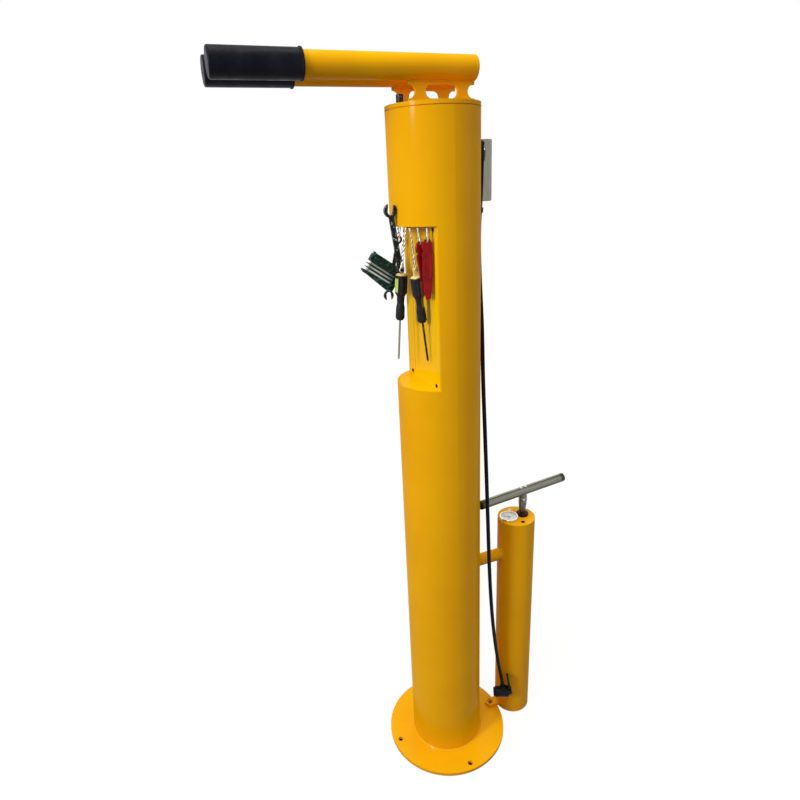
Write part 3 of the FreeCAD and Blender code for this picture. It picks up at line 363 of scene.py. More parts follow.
@dataclass(frozen=True)
class BareSteel:
    """Bare steel with brushed streaks, stains and bright worn edges."""

    name: str
    colour: Colour = (0.56, 0.55, 0.51)
    shade: Colour = (0.33, 0.33, 0.30)
    bright: Colour = (0.78, 0.77, 0.74)
    roughness: float = 0.3
    streaks: tuple[float, float, float] = (900.0, 900.0, 30.0)
    metal: float = 1.0

    def build(self) -> Material:
        """Build the material.

        Returns:
            The finished material.
        """
        graph = Graph(self.name)
        lines = graph.pattern(Pattern.NOISE, 1.0, graph.mapped(self.streaks, self.place()), 4.0)
        colour = graph.blend(graph.ramp(lines, 0.35, 0.7), self.colour, self.shade)
        colour = graph.blend(graph.noise(26.0, 0.5, 0.8, 0.0, 0.5, 6.0), colour, self.shade)
        colour = graph.blend(graph.scaled(graph.edges(0.0006), 0.7), colour, self.bright)
        # Dark marks from the piece's masks: the bar's dark seam and tips, and painted shade on
        # its underside.
        for shadow in self.shadows(graph):
            colour = graph.blend(shadow, colour, (0.02, 0.022, 0.015))
        rough = graph.ramp(lines, 0.3, 0.7, self.roughness - 0.08, self.roughness + 0.12)
        normal = graph.bump(lines, 0.00003, 1.0, graph.soft_normal(0.0005))
        return graph.finish(colour, rough, normal, Metallic=self.metal)

    def place(self) -> Matrix | None:
        """Return the frame that the streaks follow, none for the row frame."""
        return None

    def shadows(self, graph: Graph) -> list[Socket]:
        """Return the masks of a dark seam, dark tips and painted shade, none on plain steel."""
        return []


@dataclass(frozen=True)
class HandleBarSteel(BareSteel):
    """The handle bar's dull steel, dark along its seam and at its tips, with painted shade on its
    underside.
    """

    seam: float = math.radians(70.0)

    def place(self) -> Matrix:
        """Return the bar's own frame, with Y along the bar."""
        return Matrix.Translation((0.0, ROD_Y, BAR_Z)) @ Matrix.Rotation(BAR_TURN, 4, "Z")

    def shadows(self, graph: Graph) -> list[Socket]:
        """Return the masks of the seam, the painted shade on the underside and the tips.

        Args:
            graph: The material's tree.

        Returns:
            The mask sockets.
        """
        x, y, z = graph.axes(graph.mapped((1.0, 1.0, 1.0), self.place()))
        turn = graph.math("SUBTRACT", graph.math("ARCTAN2", z, x), self.seam)
        return [graph.ramp(graph.math("ABSOLUTE", turn), 0.06, 0.12, 0.95, 0.0),
                # Painted shade: the bar's underside is darkened.
                graph.ramp(z, -0.004, 0.001, 0.85, 0.0),
                graph.ramp(graph.math("ABSOLUTE", y), BAR_HALF - 0.010, BAR_HALF - 0.008, 0.0,
                           0.85)]


@dataclass(frozen=True)
class BlackOxide:
    """Blackened steel worn bright along its edges, with bright specks."""

    name: str
    colour: Colour = (0.010, 0.010, 0.011)
    haze: Colour = (0.03, 0.03, 0.032)
    steel: Colour = (0.55, 0.54, 0.50)
    wear: float = 0.85

    def build(self) -> Material:
        """Build the material.

        Returns:
            The finished material.
        """
        graph = Graph(self.name)
        haze = graph.noise(90.0, 0.4, 0.8, detail=5.0)
        colour = graph.blend(haze, self.colour, self.haze)
        bright_marks = graph.scaled(graph.edges(0.0009), graph.noise(130.0, 0.50, 0.60, detail=6.0))
        # Bright specks as well as the worn edges.
        bright_marks = graph.math("MAXIMUM", bright_marks, graph.noise(230.0, 0.62, 0.66, detail=2.0))
        colour = graph.blend(graph.scaled(bright_marks, self.wear), colour, self.steel)
        rough = graph.ramp(haze, 0.0, 1.0, 0.28, 0.48)
        pits = graph.bump(graph.pattern(Pattern.NOISE, 900.0), 0.00004, 1.0,
                          graph.soft_normal(0.0006))
        return graph.finish(colour, rough, pits, Metallic=0.3, Specular_IOR_Level=0.12)


@dataclass(frozen=True)
class MouldedPlastic:
    """Moulded plastic with clouding, fine speckle and edges rubbed lighter."""

    name: str
    colour: Colour
    rubbed: Colour
    deep: Colour
    roughness: float = 0.4
    speckle: float = 0.0
    coat: float = 0.0
    gloss: float = 0.2

    def build(self) -> Material:
        """Build the material.

        Returns:
            The finished material.
        """
        graph = Graph(self.name)
        cloud = graph.noise(60.0, 0.35, 0.75, detail=5.0)
        colour = graph.blend(cloud, self.colour, self.deep)
        if self.speckle:
            grain = graph.pattern(Pattern.NOISE, 300.0)
            dark = graph.ramp(grain, 0.46, 0.38, 0.0, self.speckle)
            pale = graph.ramp(grain, 0.56, 0.64, 0.0, self.speckle)
            colour = graph.blend(dark, colour, tuple(0.25 * c for c in self.deep))
            colour = graph.blend(pale, colour, self.rubbed)
        colour = graph.blend(graph.scaled(graph.edges(0.0008), 0.6), colour, self.rubbed)
        rough = graph.noise(140.0, 0.2, 0.8, self.roughness - 0.08, self.roughness + 0.1)
        normal = graph.bump(graph.pattern(Pattern.NOISE, 900.0, detail=2.0), 0.00007, 1.0,
                            graph.soft_normal(0.0006))
        return graph.finish(colour, rough, normal, Specular_IOR_Level=self.gloss,
                            Coat_Weight=self.coat, Coat_Roughness=0.1)


@dataclass(frozen=True)
class Hanging:
    """How one tool hangs: its grommet, its lean, its turn and the size of its cable loop."""

    at: tuple[float, float]
    lean: float
    yaw: float
    eye: float
    width: float
    height: float
    across: Vector

    def place(self) -> Matrix:
        """Work out where the tool hangs.

        Returns:
            The matrix that hangs a piece built down from its pivot.
        """
        pivot = Matrix.Translation((self.at[0] * MM, self.at[1] * MM, PIVOT_Z))
        lean = Matrix.Rotation(math.radians(-self.lean), 4, "X")
        return pivot @ lean @ Matrix.Rotation(math.radians(self.yaw), 4, "Z")


HANGINGS = {
    "driver_left": Hanging((-12.0, -59.7), 4.8, 0.0, 73.6, 12.0, 31.0, X_AXIS),
    "driver_right": Hanging((34.0, -66.0), -6.4, 0.0, 73.6, 12.0, 31.0, X_AXIS),
    "spanner": Hanging((-55.0, -48.0), 13.3, 0.0, 23.5, 11.0, 12.5, X_AXIS),
    "lever_left": Hanging((48.9, -57.0), -7.5, 90.0, 26.5, 9.0, 11.5, Y_AXIS),
    "lever_right": Hanging((60.2, -44.4), 0.7, 80.0, 22.0, 9.0, 11.0, Y_AXIS),
}


@dataclass(frozen=True)
class DriverGrip:
    """A two-material grip: dark soft panels over a pale core that shows on top and in stripes."""

    name: str
    stripe: float
    reach: float
    core: Colour
    top: float = 84.5 * MM
    dark: Colour = (0.012, 0.012, 0.013)
    haze: Colour = (0.028, 0.027, 0.028)
    crown: Colour = (0.84, 0.68, 0.26)
    grey: Colour = (0.22, 0.23, 0.24)

    def build(self) -> Material:
        """Build the material.

        Returns:
            The finished material.
        """
        graph = Graph(f"{self.name}_grip")
        place = HANGINGS[self.name].place()
        x, y, z = graph.axes(graph.mapped((1.0, 1.0, 1.0), place))
        down = graph.scaled(graph.math("ADD", z, self.top), -1.0)
        rub = graph.noise(110.0, 0.45, 0.75, detail=5.0)
        colour = graph.blend(rub, self.dark, self.haze)
        turn = graph.math("SUBTRACT", graph.math("ARCTAN2", y, x), math.radians(self.stripe))
        stripe = graph.ramp(graph.math("ABSOLUTE", turn), 0.62, 0.56)
        window = graph.scaled(graph.ramp(down, 0.008, 0.010),
                              graph.ramp(down, self.reach, self.reach - 0.003))
        colour = graph.blend(graph.scaled(stripe, window), colour, self.core)
        ragged = graph.math("ADD", down, graph.scaled(rub, 0.002))
        colour = graph.blend(graph.ramp(ragged, 0.0045, 0.003), colour, self.crown)
        ribs = graph.pattern(Pattern.BANDS, 60.0, graph.mapped((0.0, 0.0, 1.0), place), 0.0)
        collar = graph.ramp(down, 0.060, 0.062)
        ribbed = graph.scaled(graph.ramp(ribs, 0.8, 1.0, 0.0, 0.3), collar)
        colour = graph.blend(ribbed, colour, self.grey)
        rough = graph.noise(160.0, 0.2, 0.8, 0.36, 0.55)
        normal = graph.bump(graph.scaled(ribs, collar), 0.0003, 0.6, graph.soft_normal(0.0008))
        skin = graph.bump(graph.pattern(Pattern.CELLS, 1300.0), 0.00008, 0.7, normal)
        return graph.finish(colour, rough, skin, Specular_IOR_Level=0.1)


@dataclass(frozen=True)
class ClearGlass:
    """A clear window that shows a soft glint."""

    name: str

    def build(self) -> Material:
        """Build the material.

        Returns:
            The finished material.
        """
        graph = Graph(self.name)
        smear = graph.pattern(Pattern.NOISE, 90.0, detail=5.0)
        colour = graph.blend(smear, (0.9, 0.95, 0.95), (0.98, 0.98, 0.98))
        rough = graph.ramp(smear, 0.3, 0.8, 0.02, 0.12)
        return graph.finish(colour, rough, graph.bump(smear, 0.00002, 0.5), Alpha=0.12,
                            Coat_Weight=1.0, Coat_Roughness=0.03)


class Finish(Enum):
    """The station's finishes, each with the recipe of its material."""

    COAT = PowderCoat("yellow_coat")
    # The window insert's coat is the yellow coat painted lighter and yellower: painted light for
    # the brightly lit recess.
    WINDOW = PowderCoat("window_coat_painted_light", (0.95, 0.54, 0.0), (0.90, 0.49, 0.0), (0.97, 0.62, 0.04))
    RUBBER = MouldedRubber("sleeve_rubber")
    HOSE = MouldedRubber("hose_rubber", (0.003, 0.003, 0.0035), (0.009, 0.008, 0.008), 0.38,
                         1000.0, 0.00006)
    GLAND = MouldedRubber("gland_rubber", (0.022, 0.005, 0.003), (0.05, 0.014, 0.008))
    STAINLESS = BareSteel("stainless_steel")
    BAR = HandleBarSteel("handle_bar_steel", (0.24, 0.235, 0.19), (0.13, 0.13, 0.10),
                         (0.34, 0.34, 0.29), 0.38, (900.0, 25.0, 900.0))
    PLATE = BareSteel("hanger_plate_steel", (0.27, 0.28, 0.22), (0.19, 0.20, 0.16),
                      (0.42, 0.43, 0.37), 0.46, (500.0, 500.0, 25.0))
    CLEVIS = BareSteel("clevis_steel", (0.22, 0.215, 0.20), (0.07, 0.07, 0.065),
                       (0.50, 0.50, 0.47), 0.42, (140.0, 140.0, 140.0))
    CHROME = BareSteel("chrome_steel", (0.72, 0.73, 0.74), (0.5, 0.5, 0.5), (0.85, 0.85, 0.85),
                       0.14)
    CABLE = BareSteel("cable_steel", (0.92, 0.91, 0.88), (0.72, 0.71, 0.68), (0.95, 0.95, 0.94),
                      0.34, (700.0, 700.0, 700.0))
    # Hex keys: half metal, half pale diffuse colour; the pale diffuse half is painted reflection
    # that keeps them bright.
    KEYS = BareSteel("key_steel_painted_reflection", (0.90, 0.92, 0.90), (0.70, 0.74, 0.71), (0.96, 0.96, 0.95),
                     0.36, (600.0, 60.0, 60.0), 0.5)
    ZINC = BareSteel("zinc_steel", (0.66, 0.65, 0.62), (0.42, 0.41, 0.38), (0.8, 0.8, 0.78),
                     0.34, (300.0, 300.0, 300.0))
    ALUMINIUM = BareSteel("turned_aluminium", (0.62, 0.62, 0.62), (0.45, 0.45, 0.45),
                          (0.8, 0.8, 0.8), 0.32)
    BEZEL = BareSteel("bezel_steel", (0.80, 0.79, 0.72), (0.62, 0.60, 0.50), (0.9, 0.9, 0.86),
                      0.22)
    OXIDE = BlackOxide("black_oxide")
    BOLT = BlackOxide("dark_bolt", (0.018, 0.012, 0.009), (0.04, 0.028, 0.02), (0.3, 0.25, 0.2),
                      0.35)
    # Near-black finish for the cables' groove faces: painted shade between the strands.
    GROOVE = BlackOxide("cable_groove_painted_shade", (0.006, 0.005, 0.004), (0.012, 0.010, 0.008),
                        (0.2, 0.19, 0.17), 0.1)
    SPANNER = BlackOxide("dark_chrome", (0.03, 0.03, 0.03), (0.09, 0.09, 0.09),
                         (0.75, 0.75, 0.74), 0.8)
    BLACK = MouldedPlastic("black_plastic", (0.004, 0.004, 0.0045), (0.02, 0.02, 0.021),
                           (0.007, 0.0065, 0.0065), 0.34, gloss=0.12)
    RED = MouldedPlastic("red_plastic", (0.36, 0.007, 0.008), (0.60, 0.09, 0.09),
                         (0.18, 0.003, 0.003), 0.3, coat=0.15, gloss=0.05)
    GREEN = MouldedPlastic("green_plastic", (0.009, 0.040, 0.031), (0.10, 0.18, 0.155),
                           (0.003, 0.016, 0.013), 0.42, 0.8, gloss=0.1)
    PLUG = MouldedPlastic("bar_plug", (0.018, 0.024, 0.016), (0.05, 0.055, 0.045),
                          (0.010, 0.013, 0.010), 0.5, gloss=0.1)
    INK = MouldedPlastic("dial_print", (0.30, 0.29, 0.27), (0.4, 0.4, 0.38), (0.24, 0.23, 0.21),
                         0.5)
    DIAL = MouldedPlastic("dial_face", (0.86, 0.86, 0.84), (0.9, 0.9, 0.88), (0.80, 0.80, 0.77),
                          0.45)
    GLASS = ClearGlass("gauge_glass")
    GRIP_LEFT = DriverGrip("driver_left", -85.0, 36.0 * MM, (0.52, 0.58, 0.16))
    GRIP_RIGHT = DriverGrip("driver_right", 38.0, 60.0 * MM, (0.24, 0.15, 0.06))

    @cache
    def material(self) -> Material:
        """Return the built material, the same one every time."""
        return self.value.build()


@dataclass(frozen=True)
class SubAssembly:
    """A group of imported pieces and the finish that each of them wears."""

    name: str
    wears: dict[Finish, str]

    def build(self) -> None:
        """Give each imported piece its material."""
        for finish, nodes in self.wears.items():
            for node in nodes.split():
                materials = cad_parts[node].data.materials
                materials.clear()
                materials.append(finish.material())
                LOG.info("dressed %s of the %s with %s", node, self.name, finish.name)


POST_AND_ARMS = SubAssembly("post and arms", {
    Finish.COAT: "base_flange post_tube cap_plate arm_bracket_left arm_bracket_right"
                 " arm_tube_left arm_tube_right",
    Finish.WINDOW: "window_insert",
    Finish.RUBBER: "arm_sleeve_left arm_sleeve_right tether_grommets",
    Finish.BOLT: "cap_lock_bolt",
    Finish.PLATE: "hanger_plate",
    Finish.STAINLESS: "cable_guide_bar cover_screws",
    Finish.CABLE: "tether_runs",
    Finish.ZINC: "tether_weights",
})

PUMP = SubAssembly("pump", {
    Finish.COAT: "pump_casing pump_lug pump_top_plate strut_tube",
    Finish.GLAND: "rod_gland",
    Finish.RUBBER: "piston_seal pump_head_seal hose_clip",
    Finish.CHROME: "pump_rod",
    Finish.BEZEL: "gauge_case",
    Finish.STAINLESS: "pump_barrel",
    Finish.ALUMINIUM: "piston",
    Finish.CLEVIS: "handle_clevis",
    Finish.ZINC: "clevis_bolts",
    Finish.BAR: "handle_bar",
    Finish.PLUG: "handle_end_plugs",
    Finish.DIAL: "gauge_dial",
    Finish.GLASS: "gauge_glass",
    Finish.INK: "gauge_needle",
    Finish.BLACK: "air_line outlet_elbow pump_head_body pump_head_lever",
})

TOOLS = SubAssembly("tools", {
    Finish.OXIDE: "black_wrench",
    Finish.KEYS: "hex_key_1 hex_key_2 hex_key_3",
    Finish.SPANNER: "chrome_spanner",
    Finish.PLATE: "driver_left_blade",
    Finish.BOLT: "driver_right_blade",
    Finish.RED: "tyre_lever_left tyre_lever_right",
    Finish.GREEN: "hex_scales",
    Finish.CABLE: "tether_driver_left tether_driver_right tether_lever_left tether_lever_right"
                  " tether_spanner tether_wrench tether_hex",
    Finish.GRIP_LEFT: "driver_left_handle",
    Finish.GRIP_RIGHT: "driver_right_handle",
})


def add_object(name: str, data: bpy.types.ID) -> Piece:
    """Make an object from its data and link it to the scene.

    Args:
        name: The object's name.
        data: Its mesh, curve, camera or light.

    Returns:
        The new object.
    """
    new = bpy.data.objects.new(name, data)
    bpy.context.scene.collection.objects.link(new)
    return new


def mount(name: str, data: bpy.types.Mesh | bpy.types.Curve, finish: Finish,
          body: str = "station") -> Piece:
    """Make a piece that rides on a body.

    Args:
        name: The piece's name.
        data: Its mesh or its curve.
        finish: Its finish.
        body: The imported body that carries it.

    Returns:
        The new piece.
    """
    data.materials.append(finish.material())
    piece = add_object(name, data)
    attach(piece, body)
    LOG.info("built %s on %s", name, body)
    return piece


def publish(name: str, mesh: Mesh, finish: Finish, body: str = "station",
            crease: float = 40.0) -> Piece:
    """Turn a built mesh into a piece that rides on a body.

    Args:
        name: The piece's name.
        mesh: The built mesh, freed here.
        finish: Its finish.
        body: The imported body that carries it.
        crease: Edges sharper than this many degrees stay sharp.

    Returns:
        The new piece.
    """
    bmesh.ops.recalc_face_normals(mesh, faces=mesh.faces)
    data = bpy.data.meshes.new(name)
    mesh.to_mesh(data)
    mesh.free()
    data.shade_smooth()
    data.set_sharp_from_angle(angle=math.radians(crease))
    return mount(name, data, finish, body)


def circle(steps: int) -> list[float]:
    """Return the turns of evenly spaced points round a full circle, in radians."""
    return [2 * math.pi * step / steps for step in range(steps)]


def spoke(turn: float) -> Vector:
    """Return the direction at a turn about Z."""
    return Vector((math.cos(turn), math.sin(turn), 0.0))


def wall_normal(x: float, radius: float, side: float) -> Vector:
    """Return the direction that leaves a round upright wall at an x, on one side of its axis."""
    return Vector((x, side * math.sqrt(radius ** 2 - x ** 2), 0.0)) / radius


def distances(path: Sequence[Vector]) -> list[float]:
    """Return how far each point is along a path."""
    steps = ((after - here).length for here, after in zip(path, path[1:]))
    return list(accumulate(steps, initial=0.0))


def skin_rings(mesh: Mesh, rings: Sequence[Sequence[Vector]], closed: bool = False) -> None:
    """Join rings of points into a skin, capped at both ends unless it is closed.

    Args:
        mesh: The mesh to add to.
        rings: Rings of equally many points.
        closed: Whether the last ring joins the first.
    """
    rows = [[mesh.verts.new(p) for p in ring] for ring in rings]
    count = len(rows[0])
    for first, second in zip(rows, rows[1:] + rows[:1] if closed else rows[1:]):
        for i in range(count):
            j = (i + 1) % count
            mesh.faces.new((first[i], first[j], second[j], second[i]))
    if not closed:
        mesh.faces.new(rows[0])
        mesh.faces.new(list(reversed(rows[-1])))


def swept_rings(path: Sequence[Vector], sides: int,
                radius: Callable[[float, float], float]) -> list[list[Vector]]:
    """Carry a round section along a path without twisting it.

    Args:
        path: The points of the centre line.
        sides: Points in a section.
        radius: The radius for a turn in radians and a distance along the path.

    Returns:
        The rings along the path.
    """
    rings = []
    side = None
    for i, (point, run) in enumerate(zip(path, distances(path))):
        ahead = (path[min(i + 1, len(path) - 1)] - path[max(i - 1, 0)]).normalized()
        if side is None:
            side = ahead.orthogonal().normalized()
        side = (side - ahead * side.dot(ahead)).normalized()
        up = ahead.cross(side)
        rings.append([point + (side * math.cos(t) + up * math.sin(t)) * radius(t, run)
                      for t in circle(sides)])
    return rings


def lathe(mesh: Mesh, profile: Sequence[tuple[float, float]], place: Matrix, steps: int) -> None:
    """Spin a profile about a frame's Z axis into a closed skin.

    Args:
        mesh: The mesh to add to.
        profile: Closed outline as (radius, height) pairs in millimetres.
        place: The frame.
        steps: Points round the axis.
    """
    rings = [[place @ ((spoke(t) * r + Z_AXIS * z) * MM) for r, z in profile]
             for t in circle(steps)]
    skin_rings(mesh, rings, closed=True)


def nurbs(name: str, points: Sequence[Vector], steps: int) -> bpy.types.Curve:
    """Make a smooth open spline with the route's points as its control points.

    Args:
        name: The curve's name.
        points: The route's points.
        steps: Points of the line between two of them.

    Returns:
        The curve data.
    """
    data = bpy.data.curves.new(name, "CURVE")
    data.dimensions = "3D"
    data.resolution_u = steps
    spline = data.splines.new("NURBS")
    spline.points.add(len(points) - 1)
    for point, place in zip(spline.points, points):
        point.co = (*place, 1.0)
    spline.order_u = 3
    spline.use_endpoint_u = True
    return data


def spline_line(points: Sequence[Vector]) -> list[Vector]:
    """Find the line that a smooth spline takes along its route.

    Args:
        points: The route's points.

    Returns:
        The points along the line.
    """
    data = nurbs("route_line", points, 24)
    carrier = bpy.data.objects.new("route_line", data)
    line = bpy.data.meshes.new_from_object(carrier)
    found = [v.co.copy() for v in line.vertices]
    bpy.data.objects.remove(carrier)
    bpy.data.curves.remove(data)
    bpy.data.meshes.remove(line)
    return found


@dataclass
class PhotoCamera:
    """The camera at the photo's viewing angle, worked out from the post, flange and arms."""

    place: tuple[float, float, float] = (1.0314, -0.4810, 1.3235)
    lens: float = 26.4465
    pitch: float = 20.44
    roll: float = -2.75
    yaw: float = -4.08
    turn: float = 65.0

    def axes(self) -> tuple[Vector, Vector, Vector]:
        """Work out the view's directions in the row frame.

        Returns:
            The right, up and forward directions.
        """
        pitch, roll, yaw, turn = (math.radians(a) for a in (self.pitch, self.roll, self.yaw,
                                                            self.turn))
        forward = Vector((math.sin(yaw) * math.cos(pitch), math.cos(yaw) * math.cos(pitch),
                          -math.sin(pitch)))
        right = Vector((math.cos(yaw), -math.sin(yaw), 0.0))
        up = right.cross(forward)
        rolled_right = right * math.cos(roll) + up * math.sin(roll)
        rolled_up = up * math.cos(roll) - right * math.sin(roll)
        spin = Matrix.Rotation(turn, 3, "Z")
        return spin @ rolled_right, spin @ rolled_up, spin @ forward

    def build(self) -> None:
        """Make the camera and hand it to the scene."""
        right, up, forward = self.axes()
        data = bpy.data.cameras.new("photo_camera")
        data.sensor_width = 36.0
        data.sensor_fit = "HORIZONTAL"
        data.lens = self.lens
        data.clip_start = 0.01
        camera = add_object("photo_camera", data)
        rotation = Matrix((right, up, -forward)).transposed()
        camera.matrix_world = Matrix.Translation(self.place) @ rotation.to_4x4()
        bpy.context.scene.camera = camera


@dataclass
class Studio:
    """The pale floor, the white surround and the soft lights."""

    floor_half: float = 8.0
    floor_lit: Colour = (0.20, 0.19, 0.18)
    floor_seen: Colour = (0.82, 0.82, 0.82)
    floor_dark: Colour = (0.03, 0.012, 0.006)
    glow: float = 1.02
    sky: float = 1.0
    ground: float = 0.15

    def area(self, name: str, place: Sequence[float], size: Sequence[float], power: float,
             aim: float) -> None:
        """Add one soft light.

        Args:
            name: The light's name.
            place: Where it stands.
            size: Its width and height in metres.
            power: Its power in watts.
            aim: The height on the post's axis that it looks at.
        """
        data = bpy.data.lights.new(name, "AREA")
        data.shape = "RECTANGLE"
        data.size, data.size_y = size
        data.energy = power
        lamp = add_object(name, data)
        lamp.location = place
        direction = Z_AXIS * aim - Vector(place)
        lamp.rotation_euler = direction.to_track_quat("-Z", "Y").to_euler()

    def floor(self) -> None:
        """Make the pale floor, which keeps a faint shadow near the object, white beyond, and dark
        under the flange as painted shade in its holes.
        """
        mesh = bpy.data.meshes.new("studio_floor")
        half = self.floor_half
        mesh.from_pydata([(-half, -half, 0), (half, -half, 0), (half, half, 0), (-half, half, 0)],
                         [], [(0, 1, 2, 3)])
        graph = Graph("studio_floor")
        away = graph.node("ShaderNodeVectorMath", {0: graph.coords}, operation="LENGTH")
        under = graph.ramp(away.outputs["Value"], 0.140, 0.143)
        seen = graph.node("ShaderNodeLightPath").outputs["Is Camera Ray"]
        pale = graph.blend(seen, self.floor_lit, self.floor_seen)
        # Painted shade: inside the flange's radius, seen through its holes, the floor is dark.
        shade = graph.ramp(under, 0.0, 1.0, 1.0, 0.0)
        shader = graph.first("BSDF_PRINCIPLED")
        graph.feed(shader, {"Base Color": graph.blend(shade, pale, self.floor_dark),
                            "Roughness": 0.9, "Specular IOR Level": 0.0})
        glow = graph.node("ShaderNodeEmission", {"Strength": self.glow})
        spread = graph.ramp(away.outputs["Value"], 0.2, 1.6, 0.90, 1.0)
        share = graph.scaled(graph.scaled(under, spread), graph.white_rays())
        graph.surface(share, shader.outputs[0], glow.outputs[0], "OUTPUT_MATERIAL")
        mesh.materials.append(graph.owner)
        add_object("studio_floor", mesh)

    def world(self) -> None:
        """Make the surround: white to the camera and in reflections, soft from above."""
        world = bpy.data.worlds.new("studio_world")
        graph = Graph("studio_world", world)
        height = graph.ramp(graph.axes()[2], 0.2, 0.9, self.ground, self.sky)
        seen = graph.node("ShaderNodeBackground", {"Color": (1.0, 1.0, 1.0, 1.0)})
        soft = graph.node("ShaderNodeBackground", {"Color": (1.0, 0.98, 0.95, 1.0),
                                                   "Strength": height})
        graph.surface(graph.white_rays(), soft.outputs[0], seen.outputs[0], "OUTPUT_WORLD")
        bpy.context.scene.world = world

    def build(self) -> None:
        """Set the view transform, the surround, the floor and the lights."""
        bpy.context.scene.view_settings.view_transform = "Standard"
        self.world()
        self.floor()
        self.area("key_light", (0.85, -2.6, 2.0), (0.5, 0.6), 47.0, 0.8)
        self.area("top_light", (0.5, -0.5, 3.3), (0.5, 2.4), 30.0, 0.4)
        self.area("side_fill", (1.3, 2.6, 1.5), (1.2, 1.6), 7.0, 0.8)
        self.area("back_light", (-2.2, 1.6, 1.9), (1.2, 1.6), 8.0, 0.8)


@dataclass
class WeldBeads:
    """Coated fillet welds where the tubes and plates of the frame meet."""

    ripple: float = 2.6 * MM
    root: float = 0.12
    section: tuple[tuple[float, float], ...] = ((1.0, 0.0), (0.72, 0.26), (0.50, 0.50),
                                                (0.26, 0.72), (0.0, 1.0))
    strut_r: float = 14.0 * MM
    strut_z: float = 475.5 * MM
    web_half: float = 3.0 * MM
    web_ends: tuple[float, float] = (-58.0 * MM, 59.0 * MM)
    hanger_half: float = 1.5 * MM
    hanger_ends: tuple[float, float] = (1283.0 * MM, 1385.0 * MM)
    lug_half: float = 11.0 * MM
    lug_top: float = 16.0 * MM

    def bead(self, name: str, line: Sequence[tuple[Vector, Vector, Vector]], leg: float,
             closed: bool = False) -> None:
        """Build one rippled fillet along a joint.

        Args:
            name: The piece's name.
            line: Points of the joint, each with the two directions that leave it in the metal.
            leg: The fillet's leg.
            closed: Whether the line closes on itself.
        """
        mesh = bmesh.new()
        rings = []
        for (point, one, two), run in zip(line, distances([p for p, _, _ in line])):
            size = leg * (1.0 + 0.10 * math.sin(2 * math.pi * run / self.ripple))
            rings.append([point - (one + two) * leg * self.root])
            rings[-1] += [point + (one * a + two * b) * size for a, b in self.section]
        skin_rings(mesh, rings, closed)
        publish(name, mesh, Finish.COAT, crease=60.0)

    def straight(self, name: str, start: Vector, end: Vector, one: Vector, two: Vector,
                 leg: float) -> None:
        """Weld along a straight joint.

        Args:
            name: The piece's name.
            start: Where the bead starts.
            end: Where it ends.
            one: The first direction in the metal.
            two: The second direction.
            leg: The fillet's leg.
        """
        count = max(8, int((end - start).length / (0.65 * MM)))
        line = [(start.lerp(end, i / count), one, two) for i in range(count + 1)]
        self.bead(name, line, leg)

    def foot(self) -> None:
        """Weld the post to the flange."""
        line = [(spoke(t) * POST_R + Z_AXIS * FLANGE_TOP, spoke(t), Z_AXIS) for t in circle(400)]
        self.bead("weld_post_foot", line, 3.6 * MM, True)

    def strut(self, name: str, radius: float, centre_y: float, side: float) -> None:
        """Weld one end of the strut to a round wall.

        Args:
            name: The piece's name.
            radius: The wall's radius.
            centre_y: The wall's axis.
            side: Which side of the axis the strut leaves on.
        """
        line = []
        for turn in circle(120):
            out = X_AXIS * math.cos(turn) + Z_AXIS * math.sin(turn)
            wall = wall_normal(self.strut_r * out.x, radius, side)
            point = wall * radius + Vector((0.0, centre_y, self.strut_z + self.strut_r * out.z))
            line.append((point, (out - wall * out.dot(wall)).normalized(), Y_AXIS * side))
        self.bead(name, line, 2.8 * MM, True)

    def brackets(self) -> None:
        """Weld the arm brackets to the cap and to the arms."""
        drop = math.sqrt(ARM_R ** 2 - self.web_half ** 2)
        for arm, x in (("left", -ARM_X), ("right", ARM_X)):
            for face, side in (("inner", -1.0), ("outer", 1.0)):
                at = x + side * self.web_half
                rise = Vector((side * drop, 0.0, self.web_half)) / ARM_R
                for joint, z, one, two in (("foot", CAP_TOP, X_AXIS * side, Z_AXIS),
                                           ("arm", ARM_Z - drop, rise, -Z_AXIS)):
                    start, end = (Vector((at, y, z)) for y in self.web_ends)
                    self.straight(f"weld_web_{joint}_{arm}_{face}", start, end, one, two,
                                  2.4 * MM)

    def hanger(self) -> None:
        """Weld the hanger plate to the post's back."""
        for face, side in (("left", -1.0), ("right", 1.0)):
            start, end = (Vector((side * self.hanger_half, POST_R, z)) for z in self.hanger_ends)
            self.straight(f"weld_hanger_{face}", start, end, X_AXIS * side, Y_AXIS, 2.2 * MM)

    def lug(self) -> None:
        """Weld the pump's foot lug to the casing."""
        last = 39
        line = []
        for step in range(last + 1):
            wall = wall_normal((2 * step / last - 1) * self.lug_half, CASING_R, -1.0)
            line.append((wall * CASING_R + Vector((0.0, CASING_Y, self.lug_top)), wall, Z_AXIS))
        self.bead("weld_pump_lug", line, 2.8 * MM)

    def build(self) -> None:
        """Weld the whole frame."""
        self.foot()
        self.strut("weld_strut_post", POST_R, 0.0, 1.0)
        self.strut("weld_strut_casing", CASING_R, CASING_Y, -1.0)
        self.brackets()
        self.hanger()
        self.lug()


